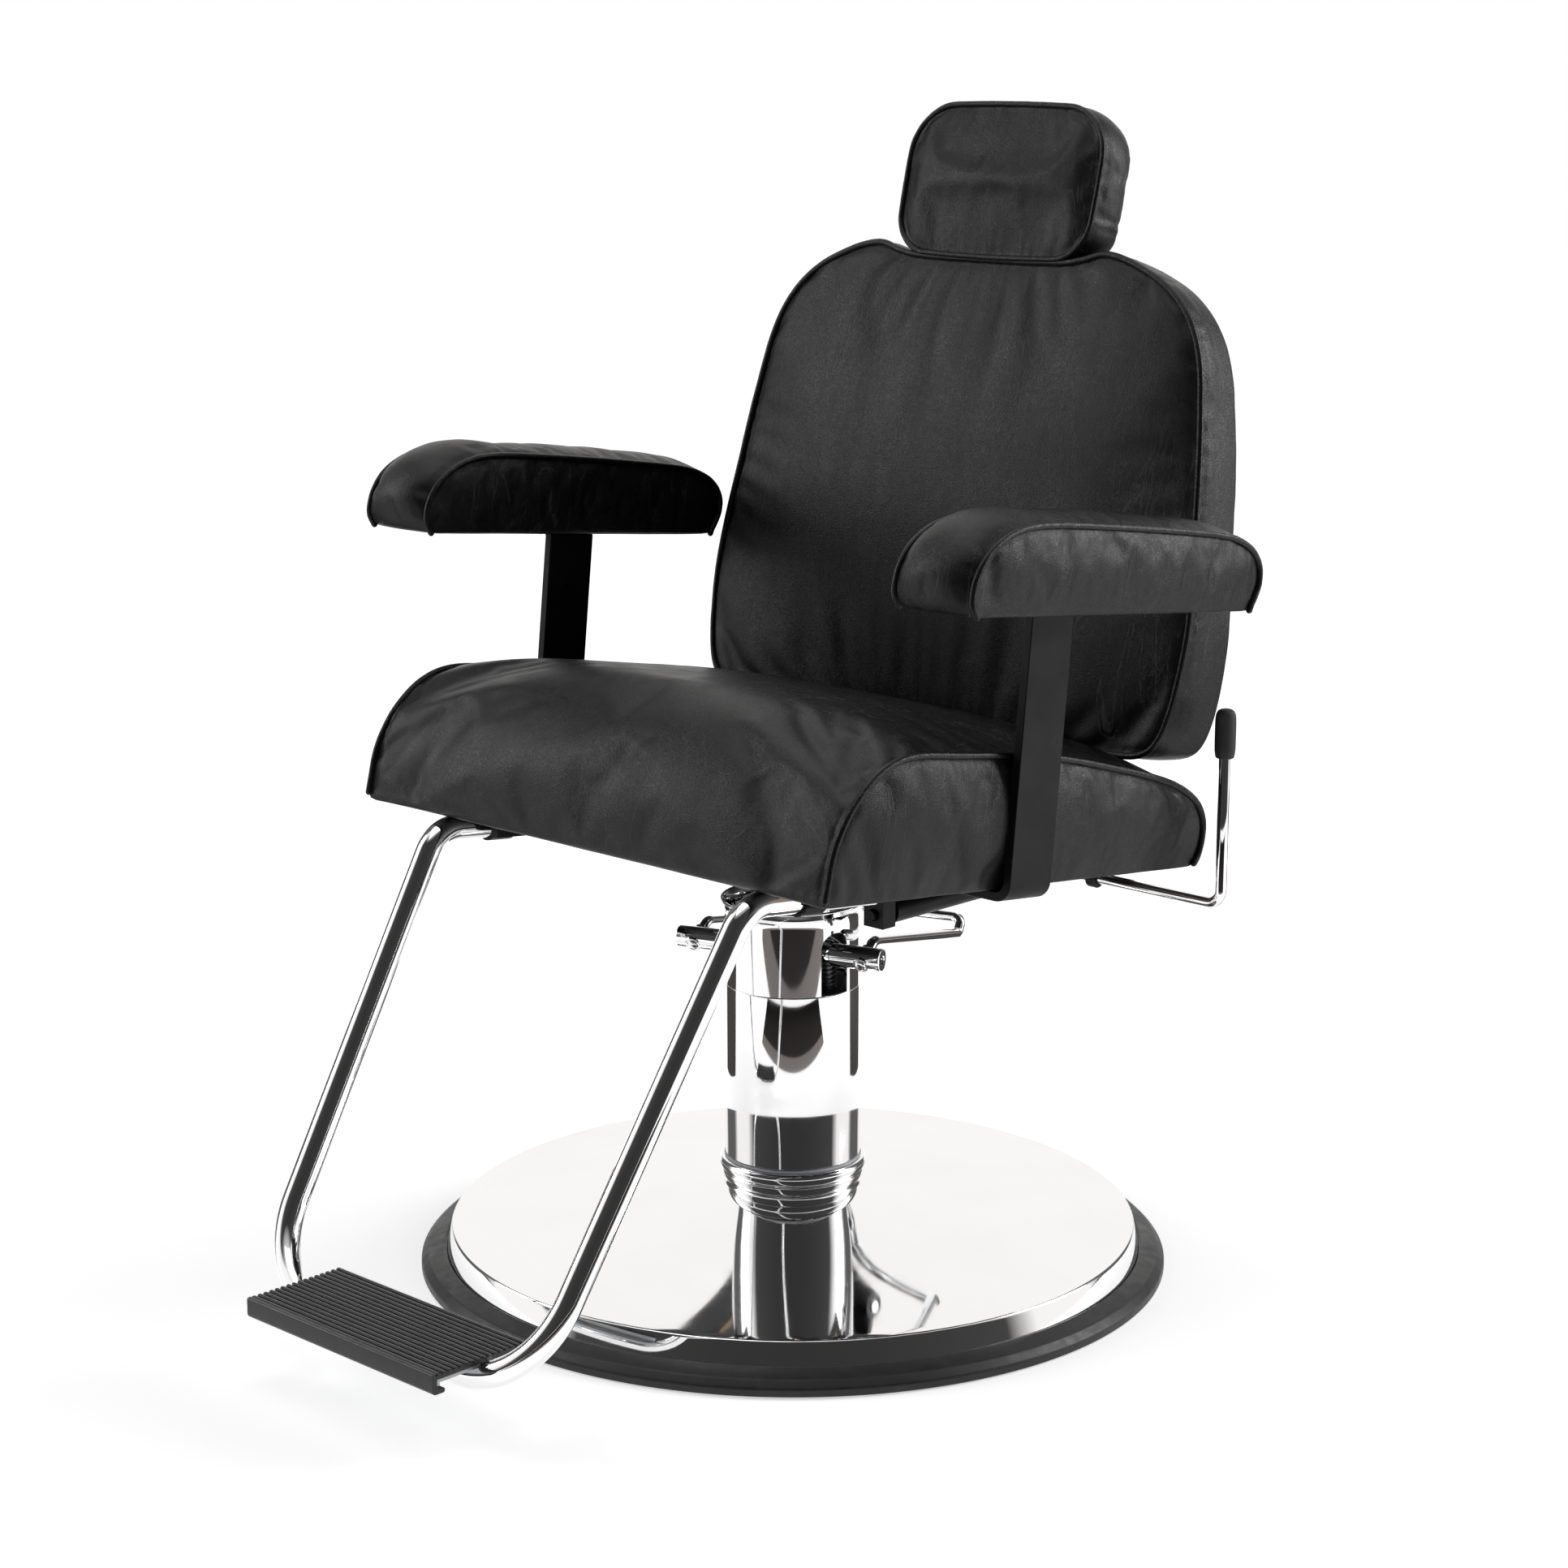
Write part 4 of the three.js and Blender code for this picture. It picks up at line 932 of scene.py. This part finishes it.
def shroud():
    """The upper sleeve: two arched slots, open at the bottom, and a rolled rim."""
    radius, low, arch_z, half, shaft_y = 60.0, 252.0, 294.5, 12.5, SHAFT_Y
    edges = [(shaft_y - half) / radius, (shaft_y + half) / radius]
    first, last = math.asin(edges[0]), math.asin(edges[1])
    slots = [(first, last), (math.pi - last, math.pi - first)]
    columns = []
    inside = []
    stops = [(*slots[0], True), (slots[0][1], slots[1][0], False)]
    stops += [(*slots[1], True), (slots[1][1], 2 * math.pi + first, False)]
    for a, b, cut in stops:
        steps = 18 if cut else 56
        for k in range(steps):
            columns.append(a + (b - a) * k / steps)
            inside.append(cut)

    def arch(angle):
        offset = radius * math.sin(angle) - shaft_y
        return math.sqrt(max(half**2 - offset**2, 0))

    rows_low = list(np.linspace(low, arch_z, 8))
    rim = [(60, 314), (60.4, 317.5), (61.4, 321.2), (62.9, 324.2)]
    rim += [(63.8, 326.2), (63.2, 327.5), (61.6, 327.3)]
    rim = smooth_line(rim, steps=4)
    points, index = [], {}
    count = len(columns)
    for c, angle in enumerate(columns):
        start = arch(angle) if inside[c] or inside[c - 1] else 0
        upper = [(radius, z) for z in np.linspace(arch_z + start, 312, 8)] + [tuple(q) for q in rim]
        lower = [(radius, z) for z in rows_low[:-1]]
        for r, (rad, z) in enumerate(lower + upper):
            index[c, r] = len(points)
            points.append((rad * math.cos(angle), rad * math.sin(angle), z))
    total = len(rows_low) - 1 + 8 + len(rim)
    faces = []
    for c in range(count):
        d = (c + 1) % count
        for r in range(total - 1):
            if inside[c] and r < len(rows_low) - 1:
                continue
            faces.append((index[c, r], index[d, r], index[d, r + 1], index[c, r + 1]))
    mesh = new_mesh("shroud", points, faces, 180)
    spare = bmesh.new()
    spare.from_mesh(mesh)
    bmesh.ops.delete(spare, geom=[v for v in spare.verts if not v.link_faces], context="VERTS")
    if sum(f.normal.dot(f.calc_center_median().to_2d().to_3d()) for f in spare.faces) < 0:
        bmesh.ops.reverse_faces(spare, faces=spare.faces)
    spare.to_mesh(mesh)
    spare.free()
    mesh.shade_smooth()
    obj = piece("shroud", mesh, "chrome", "base", PUMP, ("upper_shroud",))
    wall = obj.modifiers.new("wall", "SOLIDIFY")
    wall.thickness = 2.0 * MM
    wall.offset = -1
    wall.use_even_offset = True
    return bevelled(obj, 0.35, 2, 50)


def pump_pieces():
    half = 97
    profile = [(0, half - 5), (3.4, half - 5), (3.4, half - 0.6), (4.2, half), (8.6, half)]
    profile += [(9.6, half - 0.4), (10, half - 1.4), (10, 51), (9.4, 50), (8, 50)]
    profile += [(r, -z) for r, z in profile[::-1]]
    shaft = lathe("shaft_bar", profile, 64, 30)
    shaft.transform(at(0, SHAFT_Y, SHAFT_Z, facing((1, 0, 0))))
    crank = prism("crank", rounded([(-2, -5), (22, -5), (22, 5), (-2, 5)], 2, 4, True), 31, 41)
    crank.transform(at(0, SHAFT_Y, SHAFT_Z))
    roller = lathe("roller", rounded([(0, -5), (6, -5), (6, 5), (0, 5)], 0.6, 2), 32)
    roller.transform(at(36, SHAFT_Y + 22, SHAFT_Z, facing((1, 0, 0))))
    body = [(shaft, GROUND), (crank, GROUND), (roller, GROUND)]
    # A raised lip marks where the handle's rod goes through the shaft.
    slant = Vector((0, math.cos(HOLE_SLANT), math.sin(HOLE_SLANT)))
    lip_profile = rounded([(5.2, -2.2), (7.6, -2.2), (7.3, 0.2), (6.7, 0.7), (5.6, 0.7)], 0.4, 3, True)
    for _, sign in SIDES:
        for way in (-1, 1):
            lip = lathe("lip", lip_profile, 32)
            spot = Vector((HOLE_X * sign, SHAFT_Y, SHAFT_Z)) + slant * way * 9.4
            lip.transform(at(*spot, facing(slant * way)))
            body.append((lip, GROUND))
    piece("shaft", joined("shaft", body), "chrome", "pump_lever", PUMP, ("cross_shaft",))
    near = [(HOLE_X, -9.6, -4.9), (HOLE_X, 19.6, 10), (HOLE_X, 214, -31), (HOLE_X, 224, -18)]
    corners = near + [(-x, y, z) for x, y, z in near[::-1]]
    bends = [0, 14, 7, 9, 9, 7, 14, 0]
    path = rounded([(x, SHAFT_Y + y, SHAFT_Z + z) for x, y, z in corners], bends, 14)
    loop = sweep("pedal_loop", path, 5, 24, dome=0.3)
    piece("pedal_loop", loop, "chrome", "pump_lever", PUMP, ("pump_handle",))
    turns = 6 * 2 * math.pi
    coil, low, high = 7.2, 251.2, SHAFT_Z - 12.2
    helix = [
        (36 + coil * math.cos(a), SHAFT_Y + 22 + coil * math.sin(a), low + (high - low) * a / turns)
        for a in np.linspace(0, turns, 220)
    ]
    wire = sweep("spring_coil", helix, 0.8, 10)
    spring = piece("spring_coil", wire, "steel", "base", PUMP, ("return_spring",))
    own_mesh(spring)
    ram = rounded([(0, 45), (17, 45), (17, 331), (11, 331), (11, 349), (0, 349)], 0.8, 3)
    piece("ram_bar", lathe("ram_bar", ram, 96), "chrome", "ram", stands_for=("ram",))


# --- Seat frame, arms' bars and footrest ---

def offset_strip(line, thickness):
    """A flat bar's outline along a 2-D line."""
    line = np.asarray(line, float)
    along = np.gradient(line, axis=0)
    along /= np.linalg.norm(along, axis=1)[:, None]
    normal = np.column_stack([-along[:, 1], along[:, 0]]) * thickness / 2
    return np.vstack([line + normal, (line - normal)[::-1]])


def arm_bars():
    for side_name, sign in SIDES:
        under, middle, top = -5.3, 283, 234.3
        line = rounded([(176, under), (middle, under), (middle, top), (325, top)], [0, 11, 6.5, 0], 8)
        outline = [(sign * x, w) for x, w in offset_strip(line, 8)]
        mesh = prism(f"arm_bar_{side_name}", outline, -50, 2, "y", 40)
        obj = piece(f"arm_bar_{side_name}", mesh, "black_steel", "seat", SEAT, (f"arm_support_{side_name}",))
        bevelled(obj, 0.9, 3, 50)
        spots = [((sign * 309, u, 230.3), (0, 0, -1)) for u in (-38, -10)]
        screws(f"arm_screws_{side_name}", spots, "seat", SEAT)


def screw_mesh(name, radius=5.0, height=3.0):
    """A button head with a hexagon socket, standing on its own origin along +Z."""
    dome = [(radius, 0), (radius, 0.5)]
    dome += [(radius * math.cos(a), 0.5 + (height - 0.5) * math.sin(a)) for a in np.linspace(0.15, 1.05, 6)]
    lip = dome[-1]
    profile = [(0, 0)] + dome + [(lip[0] * 0.95, lip[1]), (lip[0] * 0.9, 1.0), (0, 0.8)]
    mesh = lathe(name, profile, 24, 35)
    hexagon = lip[0] * 0.93
    for v in mesh.vertices:
        r = math.hypot(v.co.x, v.co.y) / MM
        if 0.85 * lip[0] < r < 0.99 * lip[0]:
            a = math.atan2(v.co.y, v.co.x) % (math.pi / 3) - math.pi / 6
            want = hexagon * math.cos(math.pi / 6) / math.cos(a)
            v.co.x *= want / r
            v.co.y *= want / r
    return mesh


def screws(name, spots, body, place):
    """Screw heads at (point, direction) spots."""
    one = screw_mesh(f"{name}_one")
    mesh = joined(name, [(one, at(*p, facing(d))) for p, d in spots])
    bpy.data.meshes.remove(one)
    mesh.shade_smooth()
    mesh.set_sharp_from_angle(angle=math.radians(35))
    return piece(name, mesh, "steel", body, place)


def footrest():
    upper = [SEAT @ Vector((185 * MM, u * MM, -12.5 * MM)) / MM for u in (-100, -246.5)]
    half = [tuple(q) for q in upper] + [(164, -463, 49.6)]
    corners = half + [(-x, y, z) for x, y, z in half[::-1]]
    path = rounded(corners, [0, 34, 83, 83, 34, 0], 24)
    tube = sweep("footrest_bar", path, 11.1, 48, dome=0.0)
    piece("footrest_bar", tube, "chrome", "seat", stands_for=("footrest_tube",))
    front, back, top, count = -515.0, -420.0, 70.0, 16
    under = top - 5
    pitch = (back - front - 3) / count
    outline = [(back, under), (back, top - 1)]
    for i in range(count):
        y = back - i * pitch
        for a in np.linspace(0.25, math.pi - 0.25, 6):
            outline.append((y - pitch * (0.33 - 0.33 * math.cos(a)), top - 0.9 + 0.9 * math.sin(a)))
        outline += [(y - pitch * 0.70, top - 2.1), (y - pitch * 0.94, top - 2.1)]
    outline += rounded(
        [(front + 4, top), (front, top), (front, top - 17), (front + 12.4, top - 17),
         (front + 12.4, top - 12.8), (front + 5, top - 12.8), (front + 5, under)],
        [0, 3.5, 3.5, 1.8, 1.8, 1.2, 0], 5,
    ).tolist()
    mesh = prism("tread_mat", outline, -115, 115, "x", 25)
    bevelled(piece("tread_mat", mesh, "tread_rubber", "seat", stands_for=("tread_cover",)), 0.4, 2, 50)


def recline_lever():
    corners = [(120, 182, 334), (120, 215, 334), (301, 215, 334), (301, 215, 463)]
    path = rounded(corners, 13, 14)
    bar = sweep("lever_bar", path, 5, 24, dome=0.3)
    piece("lever_bar", bar, "chrome", "recline_lever", stands_for=("lever_rod",))
    grip = [(0, 462.3), (6.4, 462.3), (7.8, 463.2), (8.3, 465)]
    grip += [(8.6, 467), (8.9, 470), (9, 480), (9, 492), (8.8, 497), (8.2, 500.6), (7, 503), (5, 504.4)]
    grip += [(2.6, 505), (0, 505.1)]
    mesh = lathe("lever_handle", smooth_line(grip, steps=3), 48, 60)
    mesh.transform(at(301, 215, 0))
    piece("lever_handle", mesh, "rubber", "recline_lever", stands_for=("lever_grip",))


def head_hardware():
    knob = [(0, 51), (5, 51), (5, 70), (14, 70), (16.4, 71.2), (17, 73), (17, 82), (16, 85), (13.4, 86)]
    knob += [(7, 86), (6, 85), (0, 85)]
    mesh = lathe("knob", rounded(knob, 0.8, 3), 72, 40)
    for v in mesh.vertices:
        r = math.hypot(v.co.x, v.co.y)
        if r > 15.5 * MM:
            a = math.atan2(v.co.y, v.co.x)
            shrink = 1 - 0.05 * (0.5 + 0.5 * math.cos(12 * a))
            v.co.x *= shrink
            v.co.y *= shrink
    mesh.transform(at(0, 0, 340, Matrix.Rotation(math.radians(-90), 4, "X")))
    piece("knob", mesh, "rubber", "lock_knob", BACK, ("lock_knob",))
    section = rounded([(-15, 42.3), (15, 42.3), (15, 50.3), (-15, 50.3)], 1.5, 4, True)
    stem = prism("stem", section, 250, 450, "z")
    bevelled(piece("stem", stem, "chrome", "headrest", BACK, ("headrest_stem",)), 0.5)


base_pieces()
shroud()
pump_pieces()
arm_bars()
footrest()
recline_lever()
head_hardware()

HARDWARE = {
    "base": [
        ("base_plate", "dark_steel"), ("pump_body", "dark_steel"), ("pump_head", "dark_steel"),
        ("ram_gland", "steel"),
    ]
    + [(f"base_bolt_{k}", "steel") for k in range(1, 5)],
    "plunger": [("plunger", "steel")],
    "seat": [
        ("seat_hub", "steel"), ("mounting_plate", "black_steel"), ("cross_bar_front", "black_steel"),
        ("cross_bar_rear", "black_steel"), ("rail_left", "black_steel"), ("rail_right", "black_steel"),
        ("hinge_pin_left", "steel"), ("hinge_pin_right", "steel"), ("tube_clamp_left", "black_steel"),
        ("tube_clamp_right", "black_steel"), ("tread_plate", "steel"), ("recline_cylinder", "black_steel"),
        ("seat_board", "plywood"), ("arm_board_left", "plywood"), ("arm_board_right", "plywood"),
    ]
    + [(f"plate_bolt_{k}", "steel") for k in range(1, 5)],
    "recline_rod": [("recline_rod", "chrome")],
    "back": [
        ("back_board", "plywood"), ("headrest_guide", "black_steel"), ("hinge_arm_left", "black_steel"),
        ("hinge_arm_right", "black_steel"),
    ],
    "headrest": [("headrest_board", "plywood")],
    "ram": [("swivel_washer", "steel")],
}
BODY_OF = {}
for body, names in frame["record"]["behaviour"]["bodies"].items():
    for node in names:
        BODY_OF[node] = body
for group in HARDWARE.values():
    for node, look in group:
        refined(node, look, BODY_OF[node])


# --- Stage ---

TO_CAMERA = Vector((0.69, -0.72, 0))
RIGHT_REAR = Vector((0.20, 0.98, 0))
LEFT_REAR = Vector((-0.98, -0.15, 0))
# How bright the room is, by where it lies: 0 behind the chair, 1 on the camera's side.
ROOM_STOPS = (
    (0.0, 1.0), (0.05, 1.0), (0.09, 0.12), (0.26, 0.12), (0.33, 1.0), (0.56, 1.0), (0.66, 0.06), (1.0, 0.035),
)


def staged(name, mesh, material):
    mesh.materials.append(material)
    obj = bpy.data.objects.new(name, mesh)
    scene.collection.objects.link(obj)
    return obj


def make_floor():
    """A pale floor that glows a little, more so far from the chair."""
    n = Nodes("floor", Base_Color=(0.9, 0.9, 0.9, 1), Roughness=0.9, Specular_IOR_Level=0.0)
    away = n.node("VectorMath", {0: n.place, 1: (1, 1, 0)}, operation="MULTIPLY").outputs[0]
    reach = n.node("VectorMath", {0: away}, operation="LENGTH").outputs["Value"]
    n.set("Emission_Color", (1, 1, 1, 1))
    n.set("Emission_Strength", n.ramp(reach, 0.5, 3.0, 0.56, 0.98))
    staged("floor", lathe("floor", [(0, -1), (14000, -1), (14000, -3), (0, -3)], 96, 30), n.material)


def floor_card(name, toward, near, far, half, colour, height):
    """A card on the floor that only mirrors see, reaching from near to far in one direction."""
    across = Vector((-toward.y, toward.x, 0))
    spots = ((near, -half[0]), (near, half[0]), (far, half[1]), (far, -half[1]))
    mesh = bpy.data.meshes.new(name)
    corners = [tuple(toward * a + across * b + Vector((0, 0, height))) for a, b in spots]
    mesh.from_pydata(corners, [], [(0, 1, 2, 3)])
    surface = Nodes(name, Base_Color=(*colour, 1), Roughness=1.0, Specular_IOR_Level=0.0)
    card = staged(name, mesh, surface.material)
    card.visible_camera = False
    card.visible_diffuse = False
    card.visible_shadow = False


def soft_light(name, place, aim, size, power, shine=1.0):
    data = bpy.data.lights.new(name, "AREA")
    data.shape = "RECTANGLE"
    data.size, data.size_y = size
    data.energy = power
    data.specular_factor = shine
    lamp = bpy.data.objects.new(name, data)
    lamp.location = place
    lamp.rotation_euler = (Vector(aim) - Vector(place)).to_track_quat("-Z", "Y").to_euler()
    scene.collection.objects.link(lamp)


def make_world():
    """A pale room, dark where it faces the chair's front left corner, with two dark gaps further round."""
    world = bpy.data.worlds.new("studio")
    world.use_nodes = True
    tree = world.node_tree
    tree.nodes.clear()
    way = add_node(tree, "TexCoord").outputs["Generated"]
    flat = add_node(tree, "VectorMath", {0: way, 1: (1, 1, 0)}, operation="MULTIPLY").outputs[0]
    level = add_node(tree, "VectorMath", {0: flat}, operation="NORMALIZE").outputs[0]
    facing_way = {0: level, 1: tuple(TO_CAMERA)}
    toward = add_node(tree, "VectorMath", facing_way, operation="DOT_PRODUCT").outputs["Value"]
    share = add_node(tree, "MapRange", {"Value": toward, "From Min": -1}).outputs["Result"]
    ramp = add_node(tree, "ValToRGB", {"Fac": share})
    band = ramp.color_ramp
    while len(band.elements) < len(ROOM_STOPS):
        band.elements.new(0.5)
    for element, (place, value) in zip(band.elements, ROOM_STOPS):
        element.position = place
        element.color = (value, value * 0.985, value * 0.97, 1)
    rise = add_node(tree, "SeparateXYZ", {"Vector": way}).outputs["Z"]
    overhead = {"Value": rise, "From Min": 0.80, "From Max": 0.97}
    ceiling = add_node(tree, "MapRange", overhead).outputs["Result"]
    shade = add_node(tree, "Mix", data_type="RGBA")
    tree.links.new(ceiling, shade.inputs["Factor"])
    tree.links.new(ramp.outputs["Color"], shade.inputs["A"])
    shade.inputs["B"].default_value = (0.7, 0.7, 0.7, 1)
    path = add_node(tree, "LightPath")
    shiny = {"Value": path.outputs["Is Glossy Ray"], "To Min": 0.16, "To Max": 1.0}
    strength = add_node(tree, "MapRange", shiny).outputs["Result"]
    room = add_node(tree, "Background", {"Color": shade.outputs["Result"], "Strength": strength})
    plain = add_node(tree, "Background", {"Color": (1, 1, 1, 1), "Strength": 1.0})
    sides = {0: path.outputs["Is Camera Ray"], 1: room.outputs[0], 2: plain.outputs[0]}
    mix = add_node(tree, "MixShader", sides)
    tree.links.new(mix.outputs[0], add_node(tree, "OutputWorld").inputs["Surface"])
    scene.world = world


make_floor()
floor_card("floor_brown", TO_CAMERA, 0.72, 0.95, (0.9, 1.1), (0.33, 0.30, 0.285), 0.002)
floor_card("floor_dark", TO_CAMERA, 0.95, 5.0, (1.1, 4.5), (0.05, 0.045, 0.042), 0.002)
floor_card("floor_right", RIGHT_REAR, 0.55, 7.0, (0.16, 2.2), (0.1, 0.095, 0.09), 0.004)
floor_card("floor_left", LEFT_REAR, 0.55, 7.0, (0.16, 2.2), (0.1, 0.095, 0.09), 0.004)
soft_light("right_box", (1.75, 2.2, 1.75), (0.1, 0, 0.7), (1.0, 2.0), 58, 2.5)
soft_light("left_box", (-2.3, -1.5, 1.7), (0, 0, 0.6), (1.0, 1.8), 26, 1.6)
soft_light("top_box", (-0.2, -0.3, 3.0), (0, 0, 0.4), (2.0, 2.0), 19)
make_world()
scene.view_settings.view_transform = "Standard"
